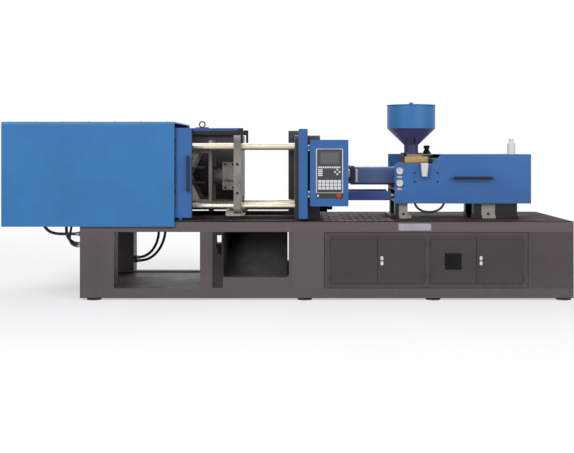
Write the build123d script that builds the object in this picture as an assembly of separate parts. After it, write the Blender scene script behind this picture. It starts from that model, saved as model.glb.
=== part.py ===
from build123d import *
import math
import os

# Horizontal toggle-clamp injection moulding machine.
# Millimetres, +X towards the injection end, +Y away from the operator, +Z up.
# The origin is on the floor, below the centre of the machine.

# Overall sizes
machine_length = 5286.0
base_depth = 1250.0
base_overhang = 721.0
deck_height = 728.0
clamp_axis_height = 1134.0

# Clearances and common thicknesses
overrun = 30.0
running = 0.06
touch_gap = 0.3
sheet = 4.0

# Base frame
floor_gap = 20.0
rail_width = 120.0
top_rail_height = 91.0
bottom_rail_height = 90.0
leg_width = 315.0
leg_depth = 200.0
opening_width = 795.0
post_width = 213.0
post_depth = 140.0
slit_width = 50.0
slit_height = 195.0
slit_drop = 30.0
slit_inset = 14.0
rear_slit_width = 86.0
rear_slit_inset = 92.0
pan_drop = 12.0
bay_width = 610.0
sill_height = 104.0
bay_post_width = 33.0
cross_beam_width = 140.0
corner_post_width = 90.0

# Deck
deck_sheet = 6.0
drop_width = 420.0
drop_length = 480.0
strip_height = 30.0
strip_width = 110.0
strip_length = 1060.0
strip_offset = 300.0

# Levelling feet
foot_radius = 68.0
foot_pad_height = 12.0
foot_stem_radius = 24.0
foot_x_shares = (0.0265, 0.456, 0.717, 0.983)

# Clamp guard
guard_width = 1290.0
guard_length = 1596.0
guard_bottom = 681.0
guard_top = 1651.0
guard_corner = 26.0
guard_flange = 33.0
guard_lip = 14.0

# Platens and tie bars
platen_width = 788.0
platen_corner = 50.0
fixed_face_x = 68.0
fixed_thickness = 240.0
platen_foot_width = 180.0
nozzle_bore_radius = 80.0
ring_radius = 62.5
ring_depth = 60.0
mould_hole_radius = 10.0
mould_hole_depth = 45.0
mould_hole_spacing = 280.0
tie_spacing = 574.0
tie_radius = 33.0
tie_end_length = 120.0
nut_radius = 58.0
nut_length = 70.0
pocket_width = 190.0
pocket_height = 240.0
pocket_depth = 110.0
pocket_offset = 255.0
pocket_corner = 24.0

# Toggle links
link_length = 260.0
open_angle = 62.0
closed_angle = 6.0
pivot_offset = 270.0
eye_radius = 40.0
lug_radius = 45.0
pin_radius = 20.0
pin_head = 6.0
rear_link_inner = 100.0
link_thickness = 50.0
front_link_inner = 155.0
front_link_thickness = 40.0
lug_thickness = 45.0
lug_gap = 2.0
link_waist = 62.0
rear_pivot_reach = 90.0
rear_thickness = 200.0
platen_pivot_reach = 100.0

# Crosshead and its short links
short_link_length = 150.0
crosshead_pin_offset = 110.0
crosshead_width = 110.0
crosshead_length = 80.0
crosshead_end = 36.0
crosshead_corner = 14.0
short_link_thickness = 35.0
short_link_gap = 2.0
short_eye_radius = 30.0
short_pin_radius = 16.0
short_waist = 44.0
rod_radius = 45.0
rod_length = 560.0
guide_radius = 15.0
guide_offset = 76.0
guide_length = 378.0

# Clamp cylinder and its valve block
cylinder_radius = 140.0
cylinder_flange_radius = 190.0
cylinder_flange_length = 40.0
cylinder_length = 640.0
cylinder_cap_radius = 160.0
cylinder_cap_length = 90.0
valve_block_left = 300.0
valve_block_width = 390.0
valve_block_front = 560.0
valve_block_bottom = 800.0
valve_block_height = 120.0
valve_neck_width = 160.0

# Moving platen
moving_face_x = -445.0
moving_plate = 70.0
moving_depth = 320.0
back_plate = 30.0
back_plate_width = 492.0
back_plate_height = 690.0
back_hole_radius = 100.0
web_height = 45.0
web_offset = 270.0
web_width = 440.0
platen_base_gap = 52.0
arch_radius = 165.0
shoe_length = 182.0
shoe_lead = 35.0
shoe_width = 150.0
shoe_rise = 26.0
shoe_chamfer = 8.0

# Ejector
ejector_width = 280.0
ejector_height = 278.0
ejector_length = 125.0
ejector_corner = 10.0
ejector_valve_height = 77.0
ejector_valve_depth = 25.0
ejector_cylinder_radius = 78.0
ejector_cylinder_length = 110.0
ejector_rib_radius = 88.0
ejector_rib_width = 10.0
ejector_rib_count = 5
ejector_bar_radius = 20.0
ejector_bar_inset = 6.0
ejector_stroke = 80.0

# Safety doors and their rails
door_length = 1250.0
door_right_x = -891.0
rear_door_shift = 403.0
door_bottom = 761.0
door_top = 1594.0
door_thickness = 40.0
door_front = 605.0
door_stile = 150.0
door_rail = 95.0
door_corner = 12.0
pane_thickness = 6.0
pane_lap = 14.0
roller_radius = 17.0
roller_width = 20.0
roller_shares = (0.32, 0.916)
track_width = 36.0
track_height = 10.0
top_rail_bottom = 1540.0
top_rail_top = 1593.0
top_rail_front = 560.0
top_rail_depth = 34.0
top_rail_end_x = -440.0
top_rail_cap = 24.0
top_rail_cap_drop = 90.0
hanger_length = 60.0
hanger_inset = 180.0
handle_height = 324.0
handle_radius = 12.0
handle_reach = 26.0
handle_inset = 34.0
handle_centre_height = 1172.0
handle_boss_radius = 17.0
rear_rib_height = 26.0
rear_rib_depth = 14.0
rear_rib_count = 3

# Lifting eye
lift_x = -798.0
lift_plate_length = 120.0
lift_plate_height = 8.0
lift_ring_radius = 26.0
lift_wire_radius = 6.0

# Column covers
column_left_x = 103.0
column_width = 82.0
column_bottom = 752.0
column_top = 1585.0
column_front = 620.0
column_corner = 8.0
rear_post_left_x = 8.0

# Control box, its panel and its hinges
box_gap = 21.0
box_width = 355.0
box_bottom = 868.0
box_top = 1484.0
box_front = 630.0
box_depth = 130.0
box_corner = 10.0
box_wall = 5.0
hinge_pin_radius = 6.0
hinge_outer_radius = 10.5
hinge_height = 34.0
hinge_arm_height = 16.0
hinge_height_shares = (0.155, 0.85)
panel_width = 250.0
panel_height = 460.0
panel_top_inset = 82.0
panel_side_inset = 55.0
panel_thickness = 6.0
panel_recess = 4.0
screen_width = 212.0
screen_height = 148.0
screen_top_inset = 12.0
screen_depth = 1.2
key_depth = 1.6
key_size = 16.0
key_gap = 5.0
key_rows = 3
key_columns = 6
grid_key_height = 26.0
grid_gap = 20.0
top_key_count = 10
bar_key_width = 42.0
bar_key_height = 12.0
bar_key_count = 4
switch_height = 25.0
stop_head_radius = 23.5
stop_head_length = 6.0
stop_stem_radius = 11.0
stop_gap = 7.0
stop_travel = 5.0
stop_inset = 38.0
stop_depth = 30.0
key_switch_radius = 10.0
key_switch_reach = 7.0
key_blade_width = 4.0
key_blade_reach = 5.0
key_inset = 17.0

# Injection carriage
carriage_left_x = 1030.0
carriage_length = 1315.0
carriage_plate_lift = 55.0
carriage_plate = 24.0
cover_width = 560.0
cover_bottom = 872.0
cover_top = 1347.0
cover_step = 91.0
cover_step_start = 362.0
cover_step_end = 449.0
guide_rod_offset = 200.0
guide_rod_drop = 189.0
guide_rod_radius = 25.0
guide_rod_end_x = 2215.0
bearing_length = 90.0
bearing_height = 105.0
bearing_width = 110.0
bearing_starts = (1390.0, 1560.0)
throat_left_x = 1110.0
throat_length = 260.0
throat_width = 280.0
throat_top = 1262.0
upright_x = 1420.0
upright_thickness = 40.0
upright_height = 280.0
upright_width = 500.0
gauge_radius = 33.0
gauge_depth = 14.0
gauge_inset = 48.0
gauge_heights = (1186.0, 1070.0)
tag_width = 46.0
tag_height = 22.0
tag_drop = 58.0
tag_depth = 2.0
cover_bolt_radius = 9.0
cover_bolt_depth = 4.0
cover_bolt_insets = (192.0, 414.0)
cover_bolt_heights = (1167.0, 1083.0)
cover_handle_left_x = 1593.0
cover_handle_length = 366.0
cover_handle_height = 1121.0
cover_handle_radius = 13.0
cover_handle_reach = 48.0

# Injection supports
support_starts = (1040.0, 1800.0)
support_lengths = (120.0, 420.0)
support_foot_height = 30.0
support_pad_length = 212.0
support_pad_height = 28.0
support_pad_width = 520.0
support_foot_width = 150.0
support_eye_radius = 44.0
support_tie_height = 60.0

# Carriage cylinders
pull_left_x = 590.0
pull_length = 410.0
pull_width = 90.0
pull_height = 88.0
pull_corner = 10.0

# Barrel, nozzle and heater bands
barrel_left_x = 330.0
barrel_radius = 55.0
barrel_flange_radius = 80.0
barrel_flange_length = 30.0
band_radius = 62.0
band_width = 90.0
band_gap = 22.0
band_count = 6
nozzle_length = 100.0
nozzle_base_radius = 45.0
nozzle_tip_radius = 20.0
nozzle_hole_radius = 4.0
screw_radius = 25.0
screw_tip_length = 60.0
screw_shank = 60.0

# Barrel cover
barrel_cover_left_x = 657.0
barrel_cover_width = 260.0
barrel_cover_bottom = 1048.0
barrel_cover_top = 1221.0
barrel_cover_corner = 30.0
collar_length = 42.0
collar_margin = 12.0

# Injection cylinders and screw motor
inject_offset = 160.0
inject_radius = 72.0
inject_length = 430.0
inject_cap_radius = 84.0
inject_cap_length = 50.0
inject_rod_radius = 28.0
thrust_gap = 12.0
thrust_thickness = 42.0
thrust_height = 216.0
motor_radius = 104.0
motor_length = 165.0
motor_nose_radius = 90.0
motor_nose_length = 24.0
screw_stroke = 180.0

# Hopper, lid, gate and chute
hopper_x = 1228.0
hopper_radius = 237.0
hopper_neck_radius = 70.0
hopper_wall = 3.0
hopper_rim_height = 1827.0
hopper_cone_top = 1600.0
hopper_cone_bottom = 1437.0
hopper_flange_height = 1377.0
hopper_flange_radius = 105.0
hopper_flange = 14.0
gate_box_width = 180.0
gate_box_depth = 240.0
gate_box_plate = 8.0
gate_box_shelf = 112.0
gate_blade_width = 142.0
gate_blade = 8.0
gate_blade_height = 1290.0
gate_front_width = 229.0
gate_front_height = 59.0
gate_front = 8.0
gate_front_shift = 34.0
gate_stroke = 110.0
knob_cone_radius = 48.0
knob_cone_top_radius = 18.0
knob_cone_height = 52.0
knob_radius = 30.0
knob_height = 34.0
knob_inset = 64.0
lid_overhang = 6.0
lid_edge = 6.0
lid_rise = 10.0
lid_knob_radius = 20.0
lid_knob_height = 16.0
chute_left_x = 1278.0
chute_width = 70.0
chute_depth = 58.0
chute_top = 1262.0
chute_bottom = 1134.0
chute_taper = 12.0
chute_wall = 3.0

# Lubricator
oiler_x = 2173.0
oiler_setback = 80.0
oiler_radius = 39.0
oiler_height = 118.0
oiler_cap_radius = 24.0
oiler_cap_height = 33.0

# Cabinet
door_pair_starts = (394.0, 1316.0)
door_leaf_widths = (436.0, 429.0)
leaf_bottom = 153.0
leaf_top = 589.0
leaf_thickness = 6.0
leaf_gap = 3.0
leaf_lap = 14.0
leaf_corner = 8.0
leaf_rim_depth = 15.0
leaf_rim_inset = 30.0
leaf_rim_width = 20.0
vent_inset = 136.0
vent_size = 152.0
vent_bottom = 287.0
vent_slots = 6
vent_slot_share = 0.5
knuckle_radius = 6.0
knuckle_length = 60.0
knuckle_share = 0.14
latch_inset = 39.0
latch_bottom = 325.0
latch_height = 84.0
latch_width = 26.0
latch_depth = 8.0
latch_stem_radius = 8.0
latch_turn_share = 0.72

# Tank and pump
tank_inset = 1263.0
tank_length = 1120.0
tank_height = 400.0
tank_lap = 24.0
tank_lid = 12.0
tank_corner = 20.0
pump_left_x = 420.0
pump_plate = 14.0
pump_plate_length = 760.0
motor_body_radius = 165.0
motor_body_length = 430.0
motor_foot_width = 240.0
motor_fin_radius = 178.0
motor_fin_width = 10.0
motor_fin_count = 10
pump_body_radius = 110.0
pump_body_length = 190.0
motor_axis_lift = 205.0

# Product chute in the base
slide_sheet = 5.0
slide_side = 12.0
slide_back = 330.0
slide_top = 600.0
slide_lip = 70.0

# Hoses
hose_radius = 14.0
thin_hose_radius = 11.0
hose_socket_radius = 20.0
hose_socket_length = 26.0
hose_block_insets = (351.0, 555.0, 620.0)
hose_leg_insets = (87.0, 179.0, 131.0)
hose_leg_heights = (606.0, 505.0, 486.0)
thin_socket_radius = 13.0
port_front = 262.0
port_insets = (185.0, 490.0)
injection_hose_drop = 184.0
lower_hose_insets = (155.0, 105.0)
lower_hose_heights = (262.0, 222.0)
lower_hose_reaches = (258.0, 319.0)
arc_share = 0.45

# Hose lines, as shares of the way along and of the rise or fall between the two ends
long_hose_shares = ((0, 0.3155), (0.064, 0.619), (0.1773, 0.8571), (0.3256, 0.9762), (0.5291, 1.0119),
                    (0.7674, 1))
front_hose_shares = ((0, 0.2156), (-0.0286, 0.4424), (0, 0.6468), (0.1214, 0.8141), (0.3571, 0.9368),
                     (0.6571, 1))
rear_hose_shares = ((0, 0.2083), (-0.1467, 0.4132), (-0.28, 0.6042), (-0.3333, 0.7917), (-0.1867, 0.8889),
                    (0.0933, 0.9618), (0.4667, 1))
near_hose_shares = ((0.1983, 0), (0.4353, 0.0583), (0.6595, 0.1749), (0.8319, 0.344), (0.9483, 0.5481),
                    (1, 0.7668))
far_hose_shares = ((0.1741, 0), (0.4061, 0.047), (0.6246, 0.1619), (0.8055, 0.3342), (0.9317, 0.5431),
                   (0.9932, 0.752), (1, 0.8825))
half_loop_shares = ((0, 0.2391), (0.023, 0.5109), (0.1016, 0.7609), (0.2393, 0.9293), (0.4098, 1))

# Places that follow from the sizes above
left_x = -machine_length / 2
right_x = machine_length / 2
base_left = left_x + base_overhang
base_front = -base_depth / 2
base_back = base_depth / 2
base_top = deck_height - deck_sheet
rail_bottom = base_top - top_rail_height
frame_floor = floor_gap + bottom_rail_height
base_length = right_x - base_left
guard_right = left_x + guard_length
half_platen = platen_width / 2
fixed_back_x = fixed_face_x + fixed_thickness
axis_z = clamp_axis_height
guide_rod_height = axis_z - guide_rod_drop
carriage_plate_bottom = guide_rod_height + carriage_plate_lift
moving_back_x = moving_face_x - moving_depth
platen_pivot_x = moving_back_x - platen_pivot_reach
open_reach = 2 * link_length * math.cos(math.radians(open_angle))
closed_reach = 2 * link_length * math.cos(math.radians(closed_angle))
clamp_stroke = closed_reach - open_reach
rear_pivot_x = platen_pivot_x - open_reach
rear_face_x = rear_pivot_x - rear_pivot_reach
rear_back_x = rear_face_x - rear_thickness
knee_x = rear_pivot_x + open_reach / 2
knee_offset = pivot_offset - link_length * math.sin(math.radians(open_angle))
closed_knee_x = rear_pivot_x + closed_reach / 2
closed_knee_offset = pivot_offset - link_length * math.sin(math.radians(closed_angle))
open_short_rise = knee_offset - crosshead_pin_offset
closed_short_rise = closed_knee_offset - crosshead_pin_offset
open_short_run = math.sqrt(short_link_length**2 - open_short_rise**2)
closed_short_run = math.sqrt(short_link_length**2 - closed_short_rise**2)
crosshead_x = knee_x - open_short_run
crosshead_stroke = closed_knee_x - closed_short_run - crosshead_x
open_short_angle = math.degrees(math.asin(open_short_rise / short_link_length))
closed_short_angle = math.degrees(math.asin(closed_short_rise / short_link_length))
tie_half = tie_spacing / 2
tie_places = [(y, axis_z + z) for y in (-tie_half, tie_half) for z in (-tie_half, tie_half)]
bay_left = base_left + leg_width + opening_width + post_width
bay_right = bay_left + bay_width
cabinet_left_x = bay_right + bay_post_width
box_left = column_left_x + column_width + box_gap
box_right = box_left + box_width
throat_right = throat_left_x + throat_length
carriage_right = carriage_left_x + carriage_length
thrust_x = upright_x + upright_thickness + inject_length + thrust_gap
door_left_x = door_right_x - door_length
door_stroke = column_left_x - door_right_x - box_wall
rear_door_stroke = rear_post_left_x - door_right_x - rear_door_shift - box_wall


# Small helpers: spans, profiles and groups
def span(u0, u1, v0, v1):
    return Pos((u0 + u1) / 2, (v0 + v1) / 2) * Rectangle(u1 - u0, v1 - v0)


def round_span(u0, u1, v0, v1, radius):
    return Pos((u0 + u1) / 2, (v0 + v1) / 2) * RectangleRounded(u1 - u0, v1 - v0, radius)


def disc(u, v, radius):
    return Pos(u, v) * Circle(radius)


def along_x(profile, x0, x1):
    return Pos(x0, 0, 0) * extrude(Plane.YZ * profile, x1 - x0)


def along_y(profile, y0, y1):
    return Pos(0, y1, 0) * extrude(Plane.XZ * profile, y1 - y0)


def along_z(profile, z0, z1):
    return Pos(0, 0, z0) * extrude(profile, z1 - z0)


def turned_x(points, y, z):
    outline = Plane.XY * make_face(Polyline(*points, close=True))
    return Pos(0, y, z) * revolve(outline, Axis.X)


def turned_z(points, x, y):
    outline = Plane.XZ * make_face(Polyline(*points, close=True))
    return Pos(x, y, 0) * revolve(outline, Axis.Z)


def other_side(shape):
    return mirror(shape, Plane.XZ)


def save(name, *shapes):
    solids = [solid for shape in shapes for solid in shape.solids()]
    shape = solids[0] if len(solids) == 1 else Compound(solids)
    shape.label = name
    export_step(shape, os.path.join("parts", name + ".step"))


os.makedirs("parts", exist_ok=True)

# Base frame: rails, legs and posts welded into one piece
ring = span(base_left, right_x, base_front, base_back)
ring -= span(base_left + rail_width, right_x - rail_width, base_front + rail_width, base_back - rail_width)
base_frame = along_z(ring, rail_bottom, base_top) + along_z(ring, floor_gap, frame_floor)
post_left = bay_left - post_width
uprights = span(base_left, base_left + leg_width, base_front, base_front + leg_depth)
uprights += span(post_left, bay_left, base_front, base_front + post_depth)
uprights += span(bay_right, cabinet_left_x, base_front, base_front + post_depth)
end_post_x = right_x - sheet - corner_post_width
end_post_y = base_front + sheet
uprights += span(end_post_x, right_x - sheet, end_post_y, end_post_y + corner_post_width)
posts = along_z(uprights, frame_floor, rail_bottom)
slit_top = rail_bottom - slit_drop
posts += along_z(span(bay_left, bay_right, base_front, base_front + rail_width),
                 frame_floor, frame_floor + sill_height)
front_slit = (slit_inset, slit_width, posts)
rear_slit = (rear_slit_inset, rear_slit_width, other_side(posts))
for inset, width, side_posts in (front_slit, rear_slit):
    slit_right = bay_left - inset
    slit = span(slit_right - width, slit_right, slit_top - slit_height, slit_top)
    base_frame += side_posts - along_y(slit, base_front - overrun, base_back + overrun)
pan_front = base_front + rail_width - sheet
pan = span(base_left + rail_width - sheet, bay_left, pan_front, -pan_front)
base_frame += along_z(pan, frame_floor - pan_drop - sheet, frame_floor - pan_drop)
beam_half = cross_beam_width / 2
beam_end = base_depth / 2 - rail_width / 2
for beam_x in (rear_face_x - rear_thickness / 2, fixed_face_x + fixed_thickness / 2, *support_starts):
    base_frame += along_z(span(beam_x - beam_half, beam_x + beam_half, -beam_end, beam_end),
                          rail_bottom, base_top)
hose_leg_ys = [base_front + inset for inset in hose_leg_insets]
for socket_y, socket_z in zip(hose_leg_ys, hose_leg_heights):
    base_frame += along_x(disc(socket_y, socket_z, hose_socket_radius),
                          base_left - hose_socket_length, base_left)
leg_right = base_left + leg_width
lower_hose_xs = [leg_right + reach for reach in lower_hose_reaches]
lower_hose_ys = [base_back - inset for inset in lower_hose_insets]
for socket_y, socket_z, socket_x in zip(lower_hose_ys, lower_hose_heights, lower_hose_xs):
    base_frame += along_x(disc(socket_y, socket_z, hose_socket_radius), leg_right,
                          leg_right + hose_socket_length)
    base_frame += along_z(disc(socket_x, socket_y, hose_socket_radius), rail_bottom - hose_socket_length,
                          rail_bottom)
save("base_frame", base_frame)

# Deck plate with its drop opening and the two slide strips
drop_left = fixed_face_x - sheet - drop_length
deck = span(base_left, right_x, base_front, base_back)
deck -= span(drop_left, drop_left + drop_length, -drop_width / 2, drop_width / 2)
deck_plate = along_z(deck, base_top, deck_height)
strip_left = fixed_face_x - strip_length
strip = span(strip_left, fixed_face_x, strip_offset - strip_width / 2, strip_offset + strip_width / 2)
slide_strip = along_z(strip, deck_height, deck_height + strip_height)
deck_plate += slide_strip + other_side(slide_strip)
save("deck_plate", deck_plate)

# Levelling feet
foot_outline = [(0, 0), (foot_radius, 0), (foot_radius, foot_pad_height),
                (foot_stem_radius, foot_pad_height), (foot_stem_radius, floor_gap), (0, floor_gap)]
foot_y = base_depth / 2 - rail_width / 2
feet = [turned_z(foot_outline, base_left + share * base_length, y)
        for share in foot_x_shares for y in (-foot_y, foot_y)]
save("levelling_feet", *feet)

# Clamp guard: one folded sheet shell, open below and at its right end
guard_half = guard_width / 2
guard_outer = span(-guard_half, guard_half, guard_bottom, guard_top)
guard_outer = fillet(guard_outer.vertices().group_by(Axis.Y)[-1], guard_corner)
inner_half = guard_half - sheet
guard_inner = span(-inner_half, inner_half, guard_bottom - overrun, guard_top - sheet)
guard_inner = fillet(guard_inner.vertices().group_by(Axis.Y)[-1], guard_corner - sheet)
clamp_guard = along_x(guard_outer, left_x, guard_right)
clamp_guard -= along_x(guard_inner, left_x + sheet, guard_right + overrun)
lip_half = guard_half - guard_lip
guard_mouth = span(-lip_half, lip_half, guard_bottom - overrun, guard_top - guard_lip)
clamp_guard += along_x(guard_outer - guard_mouth, guard_right - sheet, guard_right)
flange = along_x(span(-guard_half, guard_flange - guard_half, deck_height, deck_height + sheet),
                 base_left, guard_right)
clamp_guard += flange + other_side(flange)
save("clamp_guard", clamp_guard)

# Platen outline, shared by the fixed and the rear platen
platen_outline = round_span(-half_platen, half_platen, axis_z - half_platen, axis_z + half_platen,
                            platen_corner)
platen_outline += span(-half_platen, platen_foot_width - half_platen, deck_height, axis_z - tie_half)
platen_outline += span(half_platen - platen_foot_width, half_platen, deck_height, axis_z - tie_half)
for tie_y, tie_z in tie_places:
    platen_outline -= disc(tie_y, tie_z, tie_radius + running)


# A pair of eyes that hold a link pin, for one side of the machine
def pivot_lugs(face_x, pivot_x, pivot_z, link_inner, thickness, with_pin):
    low_x = min(face_x, pivot_x)
    high_x = max(face_x, pivot_x)
    outline = span(low_x, high_x, pivot_z - lug_radius, pivot_z + lug_radius)
    outline += disc(pivot_x, pivot_z, lug_radius)
    inner_y = link_inner - lug_gap
    outer_y = link_inner + thickness + lug_gap
    lugs = along_y(outline, inner_y - lug_thickness, inner_y)
    lugs += along_y(outline, outer_y, outer_y + lug_thickness)
    if with_pin:
        lugs += along_y(disc(pivot_x, pivot_z, pin_radius), inner_y - lug_thickness, outer_y + lug_thickness)
    else:
        head_y = outer_y + lug_thickness
        lugs += along_y(disc(pivot_x, pivot_z, pin_radius), head_y, head_y + pin_head)
    return lugs


# Rear platen with its lugs, link pins and crosshead guides
rear_platen = along_x(platen_outline - disc(0, axis_z, rod_radius + running), rear_back_x, rear_face_x)
for side in (-1, 1):
    lugs = pivot_lugs(rear_face_x, rear_pivot_x, axis_z + side * pivot_offset,
                      rear_link_inner, link_thickness, True)
    rear_platen += lugs
    rear_platen += other_side(lugs)
    rear_platen += along_x(disc(0, axis_z + side * guide_offset, guide_radius),
                           rear_face_x, rear_face_x + guide_length)
save("rear_platen", rear_platen)

# Fixed platen with its nozzle bore, mould holes and cast pockets
fixed_platen = along_x(platen_outline - disc(0, axis_z, ring_radius), fixed_face_x, fixed_back_x)
fixed_platen -= along_x(disc(0, axis_z, nozzle_bore_radius), fixed_face_x + ring_depth,
                        fixed_back_x + overrun)
hole_half = mould_hole_spacing / 2
mould_holes = [disc(y, axis_z + z, mould_hole_radius)
               for y in (-hole_half, hole_half) for z in (-hole_half, hole_half)]
for hole in mould_holes:
    fixed_platen -= along_x(hole, fixed_face_x - overrun, fixed_face_x + mould_hole_depth)
pocket_x = fixed_back_x - pocket_depth
side_pocket = Pos(pocket_offset, axis_z) * RectangleRounded(pocket_width, pocket_height, pocket_corner)
top_pocket = Pos(0, axis_z + pocket_offset) * RectangleRounded(pocket_height, pocket_width, pocket_corner)
low_pocket = Pos(0, axis_z - pocket_offset) * RectangleRounded(pocket_height, pocket_width, pocket_corner)
pockets = along_x(side_pocket, pocket_x, fixed_back_x + overrun)
fixed_platen -= pockets
fixed_platen -= other_side(pockets)
fixed_platen -= along_x(top_pocket, pocket_x, fixed_back_x + overrun)
fixed_platen -= along_x(low_pocket, pocket_x, fixed_back_x + overrun)
save("fixed_platen", fixed_platen)

# Tie bars and their nuts
tie_bars = [along_x(disc(y, z, tie_radius), rear_back_x - tie_end_length, fixed_back_x + tie_end_length)
            for y, z in tie_places]
nuts = []
for tie_y, tie_z in tie_places:
    nut = Pos(tie_y, tie_z) * RegularPolygon(nut_radius, 6) - disc(tie_y, tie_z, tie_radius + running)
    nuts.append(along_x(nut, rear_back_x - nut_length, rear_back_x))
    nuts.append(along_x(nut, fixed_back_x, fixed_back_x + nut_length))
save("tie_bars", *tie_bars, *nuts)

# Clamp cylinder, with the valve block that its hoses leave from
tube_left = rear_back_x - cylinder_length
bore = rod_radius + running
cylinder_outline = [(rear_back_x, bore), (rear_back_x, cylinder_flange_radius),
                    (rear_back_x - cylinder_flange_length, cylinder_flange_radius),
                    (rear_back_x - cylinder_flange_length, cylinder_radius), (tube_left, cylinder_radius),
                    (tube_left, cylinder_cap_radius), (tube_left - cylinder_cap_length, cylinder_cap_radius),
                    (tube_left - cylinder_cap_length, 0), (tube_left, 0), (tube_left, bore)]
clamp_cylinder = turned_x(cylinder_outline, 0, axis_z)
block_left = left_x + valve_block_left
block_right = block_left + valve_block_width
block_top = valve_block_bottom + valve_block_height
clamp_cylinder += along_z(span(block_left, block_right, -valve_block_front, valve_neck_width / 2),
                          valve_block_bottom, block_top)
neck = span(tube_left - cylinder_cap_length, block_right, -valve_neck_width / 2, valve_neck_width / 2)
clamp_cylinder += along_z(neck, block_top, axis_z - rod_radius - overrun)
hose_block_xs = [left_x + inset for inset in hose_block_insets]
for socket_x, socket_y in zip(hose_block_xs, hose_leg_ys):
    clamp_cylinder += along_z(disc(socket_x, socket_y, hose_socket_radius),
                              valve_block_bottom - hose_socket_length, valve_block_bottom)
save("clamp_cylinder", clamp_cylinder)

# Crosshead with its rod and the pins of the short links
cross_half = crosshead_width / 2
cross_rise = crosshead_pin_offset + crosshead_end
crosshead_outline = round_span(-cross_half, cross_half, axis_z - cross_rise, axis_z + cross_rise,
                               crosshead_corner)
for side in (-1, 1):
    crosshead_outline -= disc(0, axis_z + side * guide_offset, guide_radius + running)
crosshead = along_x(crosshead_outline, crosshead_x - crosshead_length / 2, crosshead_x + crosshead_length / 2)
crosshead += along_x(disc(0, axis_z, rod_radius), crosshead_x - rod_length, crosshead_x)
short_inner = cross_half + short_link_gap
short_outer = short_inner + short_link_thickness
for side in (-1, 1):
    pin = disc(crosshead_x, axis_z + side * crosshead_pin_offset, short_pin_radius)
    crosshead += along_y(pin, -short_outer, short_outer)
save("crosshead", crosshead)


# A link outline: two eyes and a waist, with a running hole at the first eye and maybe the second
def link_outline(x, z, length, angle, eye, waist, hole):
    body = Circle(eye) + Pos(length, 0) * Circle(eye) + span(0, length, -waist / 2, waist / 2)
    body -= Circle(hole + running)
    return Pos(x, z) * Rot(0, 0, angle) * body


# Toggle links, above and below the axis; each node holds one link on either side of the machine
for name, side in (("upper", 1), ("lower", -1)):
    pivot_z = axis_z + side * pivot_offset
    knee_z = axis_z + side * knee_offset
    knee = disc(knee_x, knee_z, pin_radius)
    front_outer = front_link_inner + front_link_thickness
    rear = along_y(link_outline(rear_pivot_x, pivot_z, link_length, -side * open_angle,
                                eye_radius, link_waist, pin_radius),
                   rear_link_inner, rear_link_inner + link_thickness)
    rear += along_y(knee, rear_link_inner, front_outer + pin_head)
    save(name + "_rear_links", rear, other_side(rear))
    front = along_y(link_outline(knee_x, knee_z, link_length, side * open_angle,
                                 eye_radius, link_waist, pin_radius),
                    front_link_inner, front_outer)
    save(name + "_front_links", front, other_side(front))
    short = along_y(link_outline(crosshead_x, axis_z + side * crosshead_pin_offset, short_link_length,
                                 side * open_short_angle, short_eye_radius, short_waist, short_pin_radius),
                    short_inner, short_outer)
    save(name + "_short_links", short, other_side(short))

# Moving platen: mould plate, webs, back plate and the eyes of the front links
plate_bottom = deck_height + platen_base_gap
plate_outline = round_span(-half_platen, half_platen, plate_bottom, axis_z + half_platen, platen_corner)
plate_outline -= disc(0, plate_bottom, arch_radius) + disc(0, axis_z, ejector_bar_radius + running)
for tie_y, tie_z in tie_places:
    plate_outline -= disc(tie_y, tie_z, tie_radius + running)
plate_back_x = moving_face_x - moving_plate
moving_platen = along_x(plate_outline, plate_back_x, moving_face_x)
for hole in mould_holes:
    moving_platen -= along_x(hole, moving_face_x - mould_hole_depth, moving_face_x + overrun)
back_outline = round_span(-back_plate_width / 2, back_plate_width / 2, axis_z - back_plate_height / 2,
                          axis_z + back_plate_height / 2, platen_corner)
back_outline -= disc(0, axis_z, back_hole_radius)
moving_platen += along_x(back_outline, moving_back_x, moving_back_x + back_plate)
for side in (-1, 1):
    web_z = axis_z + side * web_offset
    web = span(-web_width / 2, web_width / 2, web_z - web_height / 2, web_z + web_height / 2)
    moving_platen += along_x(web, moving_back_x, plate_back_x)
    lugs = pivot_lugs(moving_back_x, platen_pivot_x, axis_z + side * pivot_offset,
                      front_link_inner, front_link_thickness, False)
    moving_platen += lugs
    moving_platen += other_side(lugs)

# Slide shoes under the moving platen
shoe_right = moving_face_x + shoe_lead
shoe_left = shoe_right - shoe_length
shoe_floor = deck_height + strip_height + touch_gap
shoe_points = [(shoe_right - shoe_chamfer, shoe_floor), (shoe_right, shoe_floor + shoe_chamfer),
               (shoe_right, plate_bottom), (plate_back_x, plate_bottom), (plate_back_x, plate_bottom + shoe_rise),
               (shoe_left, plate_bottom + shoe_rise), (shoe_left, shoe_floor + shoe_chamfer),
               (shoe_left + shoe_chamfer, shoe_floor)]
shoe_outline = make_face(Polyline(*shoe_points, close=True))
shoe = along_y(shoe_outline, strip_offset - shoe_width / 2, strip_offset + shoe_width / 2)
save("moving_platen", moving_platen, shoe, other_side(shoe))

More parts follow.
